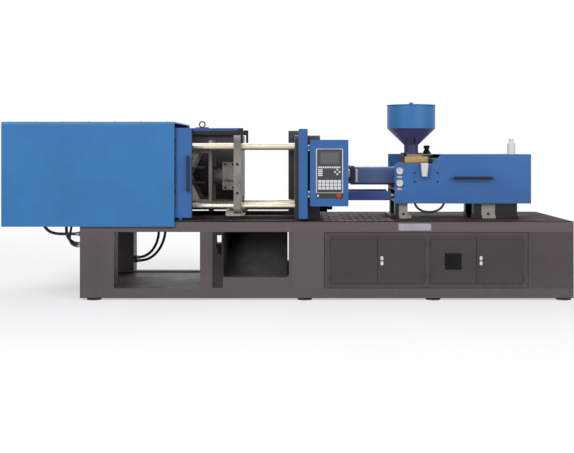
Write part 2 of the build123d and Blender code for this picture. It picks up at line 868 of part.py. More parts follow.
# Ejector housing, with its ribbed cylinder, and the ejector bar
housing_left = plate_back_x - ejector_length
housing_outline = round_span(-ejector_width / 2, ejector_width / 2, axis_z - ejector_height / 2,
                             axis_z + ejector_height / 2, ejector_corner)
ejector_housing = along_x(housing_outline, housing_left, plate_back_x)
valve_outline = span(-ejector_width / 2 - ejector_valve_depth, -ejector_width / 2,
                     axis_z - ejector_valve_height / 2, axis_z + ejector_valve_height / 2)
ejector_housing += along_x(valve_outline, housing_left + ejector_corner, plate_back_x)
ejector_end = housing_left - ejector_cylinder_length
ejector_housing += along_x(disc(0, axis_z, ejector_cylinder_radius), ejector_end, housing_left)
rib_pitch = ejector_cylinder_length / ejector_rib_count
for index in range(ejector_rib_count):
    rib_x = ejector_end + index * rib_pitch
    ejector_housing += along_x(disc(0, axis_z, ejector_rib_radius), rib_x, rib_x + ejector_rib_width)
ejector_housing -= along_x(disc(0, axis_z, ejector_bar_radius + running), ejector_end - overrun,
                           plate_back_x + overrun)
save("ejector_housing", ejector_housing)
ejector_tip = moving_face_x - ejector_bar_inset
save("ejector_bar", along_x(disc(0, axis_z, ejector_bar_radius), ejector_end, ejector_tip))

# Safety door frame on the operator's side, with its window, rollers and handle
door_back = door_thickness - door_front
door_outline = round_span(door_left_x, door_right_x, door_bottom, door_top, door_corner)
view_left = door_left_x + door_rail
view_right = door_right_x - door_stile
view_low = door_bottom + door_rail
view_high = door_top - door_rail
front_door = along_y(door_outline - span(view_left, view_right, view_low, view_high), -door_front, door_back)
rebate = span(view_left - pane_lap, view_right + pane_lap, view_low - pane_lap, view_high + pane_lap)
pane_y = door_back - pane_thickness
front_door -= along_y(rebate, pane_y, door_back + overrun)
track_top = deck_height + track_height
roller_y = -door_front + door_thickness / 2
rollers = [along_y(disc(door_left_x + share * door_length, track_top + touch_gap + roller_radius, roller_radius),
                   roller_y - roller_width / 2, roller_y + roller_width / 2) for share in roller_shares]
for roller in rollers:
    front_door += roller
save("front_door", front_door)
lap = pane_lap - touch_gap
pane = span(view_left - lap, view_right + lap, view_low - lap, view_high + lap)
save("front_door_window", along_y(pane, pane_y, door_back))


# A bow handle: a straight bar on two round bosses that stand on a front face
def bow_handle(first, second, face_y, reach, bar_radius, boss_radius):
    bar_y = face_y - reach
    start = Vector(first[0], bar_y, first[1])
    end = Vector(second[0], bar_y, second[1])
    bar = extrude(Plane(start, z_dir=end - start) * Circle(bar_radius), (end - start).length)
    bar += Pos(*start) * Sphere(bar_radius) + Pos(*end) * Sphere(bar_radius)
    for x, z in (first, second):
        bar += along_y(disc(x, z, boss_radius), bar_y, face_y)
    return bar


grip_x = door_right_x - handle_inset
grip_low = handle_centre_height - handle_height / 2 + handle_radius
grip_high = handle_centre_height + handle_height / 2 - handle_radius
grip = bow_handle((grip_x, grip_low), (grip_x, grip_high), -door_front, handle_reach, handle_radius,
                  handle_boss_radius)
save("front_door_handle", grip)

# Rear door: the same frame with a ribbed sheet in place of the window
rear_frame = along_y(door_outline - span(view_left, view_right, view_low, view_high), -door_front, door_back)
rear_frame += along_y(span(view_left, view_right, view_low, view_high), door_back - sheet, door_back)
rib_space = (view_high - view_low) / (rear_rib_count + 1)
for index in range(rear_rib_count):
    rib_low = view_low + (index + 1) * rib_space - rear_rib_height / 2
    rib = span(view_left, view_right, rib_low, rib_low + rear_rib_height)
    rear_frame += along_y(rib, door_back - sheet - rear_rib_depth, door_back - sheet)
for roller in rollers:
    rear_frame += roller
rear_frame += grip
save("rear_door", Pos(rear_door_shift, 0, 0) * other_side(rear_frame))

# Door rails: a channel overhead and a flat track on the deck, on both sides
rail_left = left_x + hanger_inset
rail_back = top_rail_depth - top_rail_front
channel = span(-top_rail_front, rail_back, top_rail_bottom, top_rail_top)
channel -= span(sheet - top_rail_front, rail_back - sheet, top_rail_bottom - overrun, top_rail_top - sheet)
top_rail = along_x(channel, rail_left, top_rail_end_x)
hanger = span(-top_rail_front, rail_back, top_rail_top, guard_top - sheet)
for hanger_x in (rail_left, guard_right - hanger_inset):
    top_rail += along_x(hanger, hanger_x, hanger_x + hanger_length)
cap = span(-top_rail_front, rail_back, top_rail_bottom - top_rail_cap_drop, top_rail_top)
top_rail += along_x(cap, top_rail_end_x, top_rail_end_x + top_rail_cap)
track = span(roller_y - track_width / 2, roller_y + track_width / 2, deck_height, track_top)
low_track = along_x(track, base_left, fixed_face_x)

# Lifting eye on the operator's rail
lift_y = (rail_back - top_rail_front) / 2
lift_plate = span(lift_x - lift_plate_length / 2, lift_x + lift_plate_length / 2, -top_rail_front, rail_back)
lifting_eye = along_z(lift_plate, top_rail_top, top_rail_top + lift_plate_height)
ring_z = top_rail_top + lift_plate_height + lift_ring_radius
lifting_eye += Pos(lift_x, lift_y, ring_z) * Rot(90, 0, 0) * Torus(lift_ring_radius, lift_wire_radius)
save("door_rails", top_rail, other_side(top_rail), low_track, other_side(low_track), lifting_eye)

# Column covers beside the fixed platen; the operator's one carries the control box hinges
column_right = column_left_x + column_width
column_back = -half_platen - touch_gap
column_outline = span(column_left_x, column_right, -column_front, column_back)
column_outline = fillet(column_outline.vertices().group_by(Axis.Y)[0], column_corner)
column = along_z(column_outline, column_bottom, column_top)
column -= along_z(span(column_left_x + sheet, column_right - sheet, sheet - column_front, column_back + overrun),
                  column_bottom + sheet, column_top - sheet)
hinge_x = box_left - hinge_outer_radius - touch_gap
hinge_y = hinge_outer_radius - box_front
arm = span(column_right - sheet, hinge_x, hinge_y, hinge_y + hinge_outer_radius)
arm += disc(hinge_x, hinge_y, hinge_outer_radius)
hinged_column = column
for share in hinge_height_shares:
    hinge_z = box_bottom + share * (box_top - box_bottom)
    hinged_column += along_z(arm, hinge_z, hinge_z + hinge_arm_height)
    hinged_column += along_z(disc(hinge_x, hinge_y, hinge_pin_radius), hinge_z, hinge_z + hinge_height)
rear_post = along_z(span(rear_post_left_x, column_left_x + sheet, -column_front, column_back),
                    column_bottom, column_top)
save("column_covers", hinged_column, other_side(column + rear_post))

# Control box with its hinge knuckles and the seat of the panel
panel_left = box_left + panel_side_inset
panel_right = panel_left + panel_width
panel_high = box_top - panel_top_inset
panel_low = panel_high - panel_height
seat_y = panel_recess - box_front
panel_face = seat_y - panel_thickness
control_box = along_y(round_span(box_left, box_right, box_bottom, box_top, box_corner),
                      -box_front, box_depth - box_front)
control_box -= along_y(round_span(panel_left - touch_gap, panel_right + touch_gap, panel_low - touch_gap,
                                  panel_high + touch_gap, box_corner), -box_front - overrun, seat_y)
stop_x = panel_right - stop_inset
key_x = panel_left + key_inset
switch_z = panel_low + switch_height
control_box -= along_y(disc(stop_x, switch_z, stop_stem_radius + running), seat_y,
                       seat_y + stop_depth + overrun)
control_box -= along_y(disc(key_x, switch_z, key_switch_radius + running), seat_y, seat_y + stop_depth)
knuckle = span(hinge_x, box_left + box_wall, hinge_y, hinge_y + hinge_outer_radius)
knuckle += disc(hinge_x, hinge_y, hinge_outer_radius)
knuckle -= disc(hinge_x, hinge_y, hinge_pin_radius + running)
for share in hinge_height_shares:
    hinge_z = box_bottom + share * (box_top - box_bottom)
    control_box += along_z(knuckle, hinge_z + hinge_arm_height + touch_gap, hinge_z + hinge_height)
save("control_box", control_box)

# Control panel: a plate with a sunk screen and raised membrane keys
control_panel = along_y(round_span(panel_left, panel_right, panel_low, panel_high, box_corner),
                        panel_face, seat_y)
screen_left = (panel_left + panel_right - screen_width) / 2
screen_high = panel_high - screen_top_inset
screen_low = screen_high - screen_height
control_panel -= along_y(span(screen_left, screen_left + screen_width, screen_low, screen_high),
                         panel_face - overrun, panel_face + screen_depth)


def key(x, z, width, height):
    pad = span(x, x + width, z, z + height)
    return along_y(pad, panel_face - key_depth, panel_face)


key_step = key_size + key_gap
key_top = screen_low - key_gap - key_size
for column_index in range(top_key_count):
    control_panel += key(screen_left + column_index * key_step, key_top, key_size, key_size)
bar_top = key_top - key_step
for bar_index in range(bar_key_count):
    control_panel += key(screen_left, bar_top - bar_index * (bar_key_height + key_gap), bar_key_width,
                         bar_key_height)
arrow_x = screen_left + screen_width - 3 * key_step
for across, down in ((1, 0), (0, 1), (2, 1), (1, 2)):
    control_panel += key(arrow_x + across * key_step, bar_top - down * key_step, key_size, key_size)
grid_top = bar_top - bar_key_count * (bar_key_height + key_gap) - grid_key_height - grid_gap
grid_pitch = (screen_width + key_gap) / key_columns
for row_index in range(key_rows):
    for column_index in range(key_columns):
        control_panel += key(screen_left + column_index * grid_pitch,
                             grid_top - row_index * (grid_key_height + key_gap),
                             grid_pitch - key_gap, grid_key_height)
control_panel -= along_y(disc(stop_x, switch_z, stop_stem_radius + running), panel_face - overrun, seat_y)
control_panel -= along_y(disc(key_x, switch_z, key_switch_radius + running), panel_face - overrun, seat_y)
save("control_panel", control_panel)

# Emergency stop: mushroom head on a stem
head_back = panel_face - stop_gap
stop_outline = [(0, 0), (stop_head_radius, 0), (stop_head_radius, stop_head_length / 2),
                (stop_head_radius - stop_head_length / 2, stop_head_length), (0, stop_head_length)]
head = revolve(make_face(Polyline(*stop_outline, close=True)), Axis.Y)
emergency_stop = Pos(stop_x, head_back, switch_z) * Rot(180, 0, 0) * head
emergency_stop += along_y(disc(stop_x, switch_z, stop_stem_radius), head_back, seat_y + stop_depth)
save("emergency_stop", emergency_stop)

# Key switch: a barrel with a key bow
key_face = panel_face - key_switch_reach
key_switch = along_y(disc(key_x, switch_z, key_switch_radius), key_face, seat_y + stop_depth - touch_gap)
bow = span(key_x - key_blade_width / 2, key_x + key_blade_width / 2, switch_z - key_switch_radius,
           switch_z + key_switch_radius)
key_switch += along_y(bow, key_face - key_blade_reach, key_face)
save("key_switch", key_switch)

# Carriage guide rods, their supports and the two carriage cylinders round them
rod_places = [(y, guide_rod_height) for y in (-guide_rod_offset, guide_rod_offset)]
rods = [along_x(disc(y, z, guide_rod_radius), fixed_back_x, guide_rod_end_x) for y, z in rod_places]
save("carriage_rods", *rods)
supports = []
for start_x, length in zip(support_starts, support_lengths):
    outline = span(-guide_rod_offset, guide_rod_offset, guide_rod_height - support_tie_height,
                   guide_rod_height - support_eye_radius / 2)
    for y, z in rod_places:
        foot = span(y - support_foot_width / 2, y + support_foot_width / 2, deck_height,
                    deck_height + support_foot_height)
        waist = span(y - support_eye_radius, y + support_eye_radius, deck_height, z)
        outline += foot + waist + disc(y, z, support_eye_radius)
    for y, z in rod_places:
        outline -= disc(y, z, guide_rod_radius + running)
    pad_left = start_x + length / 2 - support_pad_length / 2
    pad = span(pad_left, pad_left + support_pad_length, -support_pad_width / 2, support_pad_width / 2)
    support = along_x(outline, start_x, start_x + length)
    supports.append(support + along_z(pad, deck_height, deck_height + support_pad_height))
save("injection_supports", *supports)
pulls = []
for y, z in rod_places:
    case = round_span(y - pull_width / 2, y + pull_width / 2, z - pull_height / 2, z + pull_height / 2,
                      pull_corner)
    pulls.append(along_x(case - disc(y, z, guide_rod_radius + running), pull_left_x,
                         pull_left_x + pull_length))
save("carriage_cylinders", *pulls)

# Carriage frame: plate, bearing blocks, feed throat and the cylinders' upright
plate_half = cover_width / 2 - sheet - touch_gap
plate_top = carriage_plate_bottom + carriage_plate
carriage_frame = along_z(span(carriage_left_x, carriage_right, -plate_half, plate_half),
                         carriage_plate_bottom, plate_top)
for start_x in bearing_starts:
    for y, z in rod_places:
        block = span(y - bearing_width / 2, y + bearing_width / 2, carriage_plate_bottom - bearing_height,
                     carriage_plate_bottom)
        carriage_frame += along_x(block - disc(y, z, guide_rod_radius + running), start_x,
                                  start_x + bearing_length)
carriage_frame += along_z(span(throat_left_x, throat_right, -throat_width / 2, throat_width / 2),
                          plate_top, throat_top)
port_z = carriage_plate_bottom - hose_socket_length
port_xs = [carriage_left_x + inset for inset in port_insets]
for port_x in port_xs:
    carriage_frame += along_z(disc(port_x, -port_front, thin_socket_radius), port_z, carriage_plate_bottom)
upright = span(-upright_width / 2, upright_width / 2, plate_top, plate_top + upright_height)
carriage_frame += along_x(upright, upright_x, upright_x + upright_thickness)
carriage_frame -= along_x(disc(0, axis_z, screw_radius + running), throat_left_x - overrun,
                          upright_x + upright_thickness + overrun)
carriage_frame -= along_z(disc(hopper_x, 0, hopper_neck_radius - hopper_wall), axis_z, throat_top + overrun)
save("carriage_frame", carriage_frame)

# Barrel with its nozzle and heater bands
barrel_right = throat_left_x
nozzle_x = barrel_left_x - nozzle_length
barrel_bore = screw_radius + running
chamber_x = barrel_left_x + screw_radius
barrel_outline = [(nozzle_x, nozzle_hole_radius), (nozzle_x, nozzle_tip_radius),
                  (barrel_left_x, nozzle_base_radius), (barrel_left_x, barrel_radius)]
for index in range(band_count):
    band_x = barrel_left_x + band_gap + index * (band_width + band_gap)
    barrel_outline += [(band_x, barrel_radius), (band_x, band_radius), (band_x + band_width, band_radius),
                       (band_x + band_width, barrel_radius)]
barrel_outline += [(barrel_right - barrel_flange_length, barrel_radius),
                   (barrel_right - barrel_flange_length, barrel_flange_radius),
                   (barrel_right, barrel_flange_radius), (barrel_right, barrel_bore), (chamber_x, barrel_bore),
                   (barrel_left_x, nozzle_hole_radius)]
save("barrel", turned_x(barrel_outline, 0, axis_z))

# Barrel cover: a folded sheet hood with a thicker collar at its front
hood_half = barrel_cover_width / 2


def hood_profile(inset, drop):
    profile = span(inset - hood_half, hood_half - inset, barrel_cover_bottom - drop, barrel_cover_top - inset)
    return fillet(profile.vertices().group_by(Axis.Y)[-1], barrel_cover_corner - inset)


hood = along_x(hood_profile(0, 0), barrel_cover_left_x, throat_left_x)
hood += along_x(hood_profile(-collar_margin, 0), barrel_cover_left_x - collar_length, barrel_cover_left_x)
hood -= along_x(hood_profile(sheet, overrun), barrel_cover_left_x - collar_length - overrun,
                throat_left_x + overrun)
save("barrel_cover", hood)

# Injection cylinders on the upright
inject_x = upright_x + upright_thickness
inject_right = inject_x + inject_length
inject_bore = inject_rod_radius + running
inject_outline = [(inject_x, 0), (inject_x, inject_cap_radius),
                  (inject_x + inject_cap_length, inject_cap_radius),
                  (inject_x + inject_cap_length, inject_radius),
                  (inject_right - inject_cap_length, inject_radius),
                  (inject_right - inject_cap_length, inject_cap_radius), (inject_right, inject_cap_radius),
                  (inject_right, inject_bore), (inject_x + inject_cap_length, inject_bore),
                  (inject_x + inject_cap_length, 0)]
save("injection_cylinders", *[turned_x(inject_outline, y, axis_z) for y in (-inject_offset, inject_offset)])

# Screw motor on its thrust plate, with the piston rods of the injection cylinders
thrust_half = inject_offset + inject_radius
thrust = round_span(-thrust_half, thrust_half, axis_z - thrust_height / 2, axis_z + thrust_height / 2,
                    pull_corner)
thrust_right = thrust_x + thrust_thickness
motor_right = thrust_right + motor_length
screw_motor = along_x(thrust, thrust_x, thrust_right)
screw_motor += along_x(disc(0, axis_z, motor_radius), thrust_right, motor_right)
screw_motor += along_x(disc(0, axis_z, motor_nose_radius), motor_right, motor_right + motor_nose_length)
screw_motor -= along_x(disc(0, axis_z, screw_radius + running), thrust_x - overrun,
                       thrust_right + screw_shank)
for y in (-inject_offset, inject_offset):
    screw_motor += along_x(disc(y, axis_z, inject_rod_radius),
                           thrust_x - screw_stroke - inject_cap_length, thrust_x)
save("screw_motor", screw_motor)

# Screw with its pointed tip
screw_left = chamber_x + touch_gap
screw_outline = [(screw_left, 0), (screw_left + screw_tip_length, screw_radius), (thrust_right, screw_radius),
                 (thrust_right, 0)]
save("screw", turned_x(screw_outline, 0, axis_z))

# Injection cover: two stepped side sheets and a roof, with gauges, bolts and a handle
cover_half = cover_width / 2
cover_points = [(carriage_left_x, cover_bottom), (carriage_right, cover_bottom), (carriage_right, cover_top),
                (carriage_left_x + cover_step_end, cover_top),
                (carriage_left_x + cover_step_start, cover_top - cover_step),
                (carriage_left_x, cover_top - cover_step)]
front_sheet = make_face(Polyline(*cover_points, close=True))
rear_sheet = span(carriage_left_x, carriage_right, cover_bottom, cover_top)
injection_cover = along_y(front_sheet, -cover_half, sheet - cover_half)
injection_cover += along_y(rear_sheet, cover_half - sheet, cover_half)
injection_cover += along_z(span(carriage_left_x + cover_step_end, carriage_right, -cover_half, cover_half),
                           cover_top - sheet, cover_top)
gauge_x = carriage_left_x + gauge_inset
for gauge_z in gauge_heights:
    injection_cover += along_y(disc(gauge_x, gauge_z, gauge_radius), -cover_half - gauge_depth, -cover_half)
    tag = span(gauge_x - tag_width / 2, gauge_x + tag_width / 2, gauge_z - tag_drop - tag_height / 2,
               gauge_z - tag_drop + tag_height / 2)
    injection_cover += along_y(tag, -cover_half - tag_depth, -cover_half)
for inset in cover_bolt_insets:
    for bolt_z in cover_bolt_heights:
        bolt = disc(carriage_left_x + inset, bolt_z, cover_bolt_radius)
        injection_cover += along_y(bolt, -cover_half - cover_bolt_depth, -cover_half)
injection_cover += bow_handle((cover_handle_left_x, cover_handle_height),
                              (cover_handle_left_x + cover_handle_length, cover_handle_height), -cover_half,
                              cover_handle_reach, cover_handle_radius, cover_handle_radius)
save("injection_cover", injection_cover)

# Hopper shell with its flange
neck_inner = hopper_neck_radius - hopper_wall
shell_inner = hopper_radius - hopper_wall
hopper_outline = [(neck_inner, cover_top), (hopper_flange_radius, cover_top),
                  (hopper_flange_radius, cover_top + hopper_flange),
                  (hopper_neck_radius, cover_top + hopper_flange),
                  (hopper_neck_radius, hopper_cone_bottom), (hopper_radius, hopper_cone_top),
                  (hopper_radius, hopper_rim_height), (shell_inner, hopper_rim_height),
                  (shell_inner, hopper_cone_top), (neck_inner, hopper_cone_bottom)]
save("hopper", turned_z(hopper_outline, hopper_x, 0))

# Gate box below the hopper, with the shelf that carries the shut-off knob
gate_half = gate_box_width / 2
gate_back = gate_box_depth / 2
gate_box = along_z(span(hopper_x - gate_half, hopper_x + gate_half, -gate_back, gate_back),
                   throat_top, cover_top)
gate_box += along_z(span(hopper_x - gate_half, hopper_x + gate_half + gate_box_shelf, -gate_back, gate_back),
                    cover_top - gate_box_plate, cover_top)
gate_box -= along_z(disc(hopper_x, 0, neck_inner), throat_top - overrun, cover_top + overrun)
blade_half = gate_blade_width / 2
gate_box -= along_z(span(hopper_x - blade_half - touch_gap, hopper_x + blade_half + touch_gap,
                         -gate_back - overrun, blade_half + touch_gap),
                    gate_blade_height - touch_gap, gate_blade_height + gate_blade + touch_gap)
knob_base = cover_top + knob_cone_height
knob_outline = [(0, cover_top), (knob_cone_radius, cover_top), (knob_cone_top_radius, knob_base),
                (knob_radius, knob_base), (knob_radius, knob_base + knob_height), (0, knob_base + knob_height)]
gate_box += turned_z(knob_outline, hopper_x + gate_half + knob_inset, 0)
save("hopper_base", gate_box)

# Hopper lid with its knob
lid_radius = hopper_radius + lid_overhang
lid_top = hopper_rim_height + lid_edge + lid_rise
lid_outline = [(0, hopper_rim_height), (lid_radius, hopper_rim_height),
               (lid_radius, hopper_rim_height + lid_edge),
               (lid_knob_radius, lid_top), (lid_knob_radius, lid_top + lid_knob_height),
               (0, lid_top + lid_knob_height)]
save("hopper_lid", turned_z(lid_outline, hopper_x, 0))

# Hopper gate: a blade in the gate box with a folded front plate
gate_front_y = -gate_back - touch_gap
hopper_gate = along_z(span(hopper_x - blade_half, hopper_x + blade_half, gate_front_y, blade_half),
                      gate_blade_height, gate_blade_height + gate_blade)
front_left = hopper_x + gate_front_shift - gate_front_width / 2
front_low = gate_blade_height - (gate_front_height - gate_blade) / 2
hopper_gate += along_y(span(front_left, front_left + gate_front_width, front_low, front_low + gate_front_height),
                       gate_front_y - gate_front, gate_front_y)
save("hopper_gate", hopper_gate)

# Discharge chute: an open tapered spout on the front of the injection cover
chute_back = -cover_half - touch_gap
chute_x = chute_left_x + chute_width / 2


def chute_section(z, taper, inset):
    width = chute_width - 2 * taper - 2 * inset
    depth = chute_depth - taper - 2 * inset
    middle = chute_back - inset - depth / 2
    return Pos(chute_x, middle, z) * Rectangle(width, depth)


discharge_chute = loft([chute_section(chute_bottom, chute_taper, 0), chute_section(chute_top, 0, 0)])
hollow = loft([chute_section(chute_bottom, chute_taper, chute_wall), chute_section(chute_top, 0, chute_wall)])
save("discharge_chute", discharge_chute - hollow)

# Lubricator canister on the roof of the injection cover
oiler_top = cover_top + oiler_height
oiler_outline = [(0, cover_top), (oiler_radius, cover_top), (oiler_radius, oiler_top - oiler_cap_radius / 2),
                 (oiler_cap_radius, oiler_top), (oiler_cap_radius, oiler_top + oiler_cap_height),
                 (0, oiler_top + oiler_cap_height)]
save("lubricator", turned_z(oiler_outline, oiler_x, oiler_setback - cover_half))

# Cabinet: fascia with two door openings, plain rear and end panels
fascia = span(cabinet_left_x, right_x - sheet, frame_floor, rail_bottom)
rear_panel = along_y(fascia, base_back - sheet, base_back)
for start_x, width in zip(door_pair_starts, door_leaf_widths):
    fascia -= span(start_x + leaf_lap, start_x + 2 * width - leaf_lap,
                   leaf_bottom + leaf_lap, leaf_top - leaf_lap)
front_panel = along_y(fascia, base_front, base_front + sheet)
end_panel = along_x(span(base_front, base_back, frame_floor, rail_bottom), right_x - sheet, right_x)
save("cabinet_panels", front_panel, rear_panel, end_panel)

# Cabinet doors: overlaid leaves with a stiffening rim, hinged at their outer edges
leaf_back = base_front - touch_gap
leaf_face = leaf_back - leaf_thickness


def cabinet_leaf(hinge_edge, free_edge):
    low = min(hinge_edge, free_edge)
    high = max(hinge_edge, free_edge)
    leaf = along_y(round_span(low, high, leaf_bottom, leaf_top, leaf_corner), leaf_face, leaf_back)
    rim = span(low + leaf_rim_inset, high - leaf_rim_inset,
               leaf_bottom + leaf_rim_inset, leaf_top - leaf_rim_inset)
    hole_inset = leaf_rim_inset + leaf_rim_width
    rim -= span(low + hole_inset, high - hole_inset, leaf_bottom + hole_inset, leaf_top - hole_inset)
    leaf += along_y(rim, leaf_back, leaf_back + leaf_rim_depth)
    for share in (knuckle_share, 1 - knuckle_share):
        knuckle_z = leaf_bottom + share * (leaf_top - leaf_bottom) - knuckle_length / 2
        leaf += along_z(disc(hinge_edge, leaf_face, knuckle_radius), knuckle_z, knuckle_z + knuckle_length)
    return leaf


leaves = []
for start_x, width in zip(door_pair_starts, door_leaf_widths):
    middle = start_x + width
    leaves.append(cabinet_leaf(start_x, middle - leaf_gap / 2))
    leaves.append(cabinet_leaf(start_x + 2 * width, middle + leaf_gap / 2))
vent_left = door_pair_starts[1] + vent_inset
vent_pitch = vent_size / vent_slots
for index in range(vent_slots):
    slot_low = vent_bottom + index * vent_pitch
    slot = span(vent_left, vent_left + vent_size, slot_low, slot_low + vent_pitch * vent_slot_share)
    leaves[2] -= along_y(slot, leaf_face - overrun, leaf_back + overrun)
latch_places = [start_x + width + latch_inset for start_x, width in zip(door_pair_starts, door_leaf_widths)]
latch_z = latch_bottom + latch_height * latch_turn_share
for leaf, latch_x in zip((1, 3), latch_places):
    leaves[leaf] -= along_y(disc(latch_x, latch_z, latch_stem_radius + running), leaf_face - overrun,
                            leaf_back + overrun)
for index, leaf in enumerate(leaves):
    save("cabinet_door_" + str(index + 1), leaf)

# Door latches: a swing lever on a stem through the leaf
for name, latch_x in zip(("door_latch_left", "door_latch_right"), latch_places):
    lever = Pos(latch_x, latch_bottom + latch_height / 2) * SlotOverall(latch_height, latch_width, 90)
    latch = along_y(lever, leaf_face - touch_gap - latch_depth, leaf_face - touch_gap)
    latch += along_y(disc(latch_x, latch_z, latch_stem_radius), leaf_face - touch_gap,
                     leaf_back + leaf_rim_depth)
    save(name, latch)

# Oil tank and pump motor on the bottom rails
tank_half = base_depth / 2 - rail_width + tank_lap
tank_left_x = right_x - tank_inset
tank = along_z(round_span(tank_left_x, tank_left_x + tank_length, -tank_half, tank_half, tank_corner),
               frame_floor, frame_floor + tank_height)
tank += along_z(span(tank_left_x - tank_lid, tank_left_x + tank_length + tank_lid, -tank_half, tank_half),
                frame_floor + tank_height, frame_floor + tank_height + tank_lid)
save("oil_tank", tank)
pump_top = frame_floor + pump_plate
motor_z = pump_top + motor_axis_lift
motor_end = pump_left_x + motor_body_length
pump = along_z(span(pump_left_x, pump_left_x + pump_plate_length, -tank_half, tank_half),
               frame_floor, pump_top)
pump += along_x(disc(0, motor_z, motor_body_radius), pump_left_x, motor_end)
pump += along_x(span(-motor_foot_width / 2, motor_foot_width / 2, pump_top, motor_z), pump_left_x + overrun,
                motor_end - overrun)
fin_pitch = motor_body_length / motor_fin_count
for index in range(motor_fin_count):
    fin_x = pump_left_x + (index + 1) * fin_pitch - motor_fin_width
    pump += along_x(disc(0, motor_z, motor_fin_radius), fin_x, fin_x + motor_fin_width)
pump += along_x(disc(0, motor_z, pump_body_radius), motor_end, motor_end + pump_body_length)
save("pump_motor", pump)

# Product chute below the drop opening: a sloping tray with side walls and a front lip
tray_left = bay_left + slide_side
tray_right = bay_right - slide_side
sill_top = frame_floor + sill_height
lip_back = base_front + slide_lip
tray_points = [(base_front, sill_top), (lip_back, sill_top), (slide_back, slide_top),
               (slide_back, slide_top + slide_sheet), (lip_back, sill_top + slide_sheet),
               (base_front, sill_top + slide_sheet)]
tray = along_x(make_face(Polyline(*tray_points, close=True)), tray_left, tray_right)
wall_points = [(lip_back, sill_top), (slide_back, slide_top), (slide_back, slide_top + slide_sheet),
               (lip_back, slide_top + slide_sheet)]
wall = make_face(Polyline(*wall_points, close=True))
tray += along_x(wall, tray_left, tray_left + slide_sheet)
tray += along_x(wall, tray_right - slide_sheet, tray_right)
save("drop_chute", tray)


# A hanging hose: straight runs joined by arcs as large as the runs allow
def hose(name, points, radius):
    route = [Vector(*point) for point in points]
    radii = []
    for before, corner, after in zip(route, route[1:], route[2:]):
        turn = (corner - before).get_angle(after - corner)
        shorter = min((corner - before).length, (after - corner).length)
        radii.append(arc_share * shorter / math.tan(math.radians(turn / 2)))
    path = FilletPolyline(*route, radius=radii)
    tube = sweep(Plane(route[0], z_dir=route[1] - route[0]) * Circle(radius), path)
    print(name, "radii", [round(value) for value in radii], "length", round(path.length),
          "volume share", round(tube.volume / (math.pi * radius**2 * path.length), 3))
    save(name, tube)


# The points of a hose between two ends, from its shares of the way along and of the fall
def hose_line(start, end, y, fall, shares):
    start_x, start_z = start
    end_x, end_z = end
    between = [(start_x + along * (end_x - start_x), y, start_z + down * fall) for along, down in shares]
    return [(start_x, y, start_z), *between, (end_x, y, end_z)]


hose_top = valve_block_bottom - hose_socket_length
leg_face = base_left - hose_socket_length
guard_hoses = (("hose_guard_long", long_hose_shares, hose_radius),
               ("hose_guard_front", front_hose_shares, hose_radius),
               ("hose_guard_rear", rear_hose_shares, thin_hose_radius))
guard_hose_places = zip(guard_hoses, hose_block_xs, hose_leg_ys, hose_leg_heights)
for (name, shares, radius), block_x, leg_y, leg_height in guard_hose_places:
    line = hose_line((block_x, hose_top), (leg_face, leg_height), leg_y, leg_height - hose_top, shares)
    hose(name, line, radius)
lower_start = leg_right + hose_socket_length
lower_end = rail_bottom - hose_socket_length
lower_hoses = (("hose_lower_near", near_hose_shares), ("hose_lower_far", far_hose_shares))
lower_hose_places = zip(lower_hoses, lower_hose_xs, lower_hose_ys, lower_hose_heights)
for (name, shares), socket_x, socket_y, socket_z in lower_hose_places:
    line = hose_line((lower_start, socket_z), (socket_x, lower_end), socket_y, lower_end - socket_z, shares)
    hose(name, line, hose_radius)
first_port_x, last_port_x = port_xs
loop_shares = [*half_loop_shares, *((1 - along, down) for along, down in reversed(half_loop_shares))]
line = hose_line((first_port_x, port_z), (last_port_x, port_z), -port_front, -injection_hose_drop, loop_shares)
hose("hose_injection", line, thin_hose_radius)
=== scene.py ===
import math
import bmesh
import bpy
from mathutils import Matrix, Vector


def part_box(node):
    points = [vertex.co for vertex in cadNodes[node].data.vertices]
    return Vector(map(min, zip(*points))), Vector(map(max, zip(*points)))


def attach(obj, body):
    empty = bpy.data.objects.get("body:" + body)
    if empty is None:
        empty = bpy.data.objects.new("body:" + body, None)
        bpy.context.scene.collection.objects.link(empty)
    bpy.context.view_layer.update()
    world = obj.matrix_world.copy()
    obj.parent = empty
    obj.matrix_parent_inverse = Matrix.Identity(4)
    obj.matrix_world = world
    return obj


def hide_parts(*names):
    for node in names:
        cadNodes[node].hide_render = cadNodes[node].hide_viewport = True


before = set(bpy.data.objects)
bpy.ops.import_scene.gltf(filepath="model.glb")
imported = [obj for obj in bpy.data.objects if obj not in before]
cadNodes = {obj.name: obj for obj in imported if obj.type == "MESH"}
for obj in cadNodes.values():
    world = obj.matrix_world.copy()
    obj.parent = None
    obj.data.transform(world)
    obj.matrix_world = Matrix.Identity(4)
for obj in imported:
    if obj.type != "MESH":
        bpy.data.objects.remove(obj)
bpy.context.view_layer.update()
print("frame loaded:", len(cadNodes), "nodes")


# small node helpers
def srgb(red, green, blue):
    def straight(value):
        value /= 255
        return value / 12.92 if value <= 0.04045 else ((value + 0.055) / 1.055) ** 2.4
    return (straight(red), straight(green), straight(blue), 1.0)


def put(tree, kind, settings=None, **wired):
    # wired names are socket names, with i0, i1 ... for sockets by place
    node = tree.nodes.new(kind)
    for key, value in (settings or {}).items():
        setattr(node, key, value)
    for key, value in wired.items():
        byPlace = key[0] == "i" and key[1:].isdigit()
        slotIn = node.inputs[int(key[1:])] if byPlace else node.inputs[key.replace("_", " ")]
        if isinstance(value, bpy.types.NodeSocket):
            tree.links.new(value, slotIn)
        else:
            slotIn.default_value = value
    return node


def math2(tree, operation, first, second, clamp=False):
    settings = {"operation": operation, "use_clamp": clamp}
    return put(tree, "ShaderNodeMath", settings, i0=first, i1=second).outputs[0]


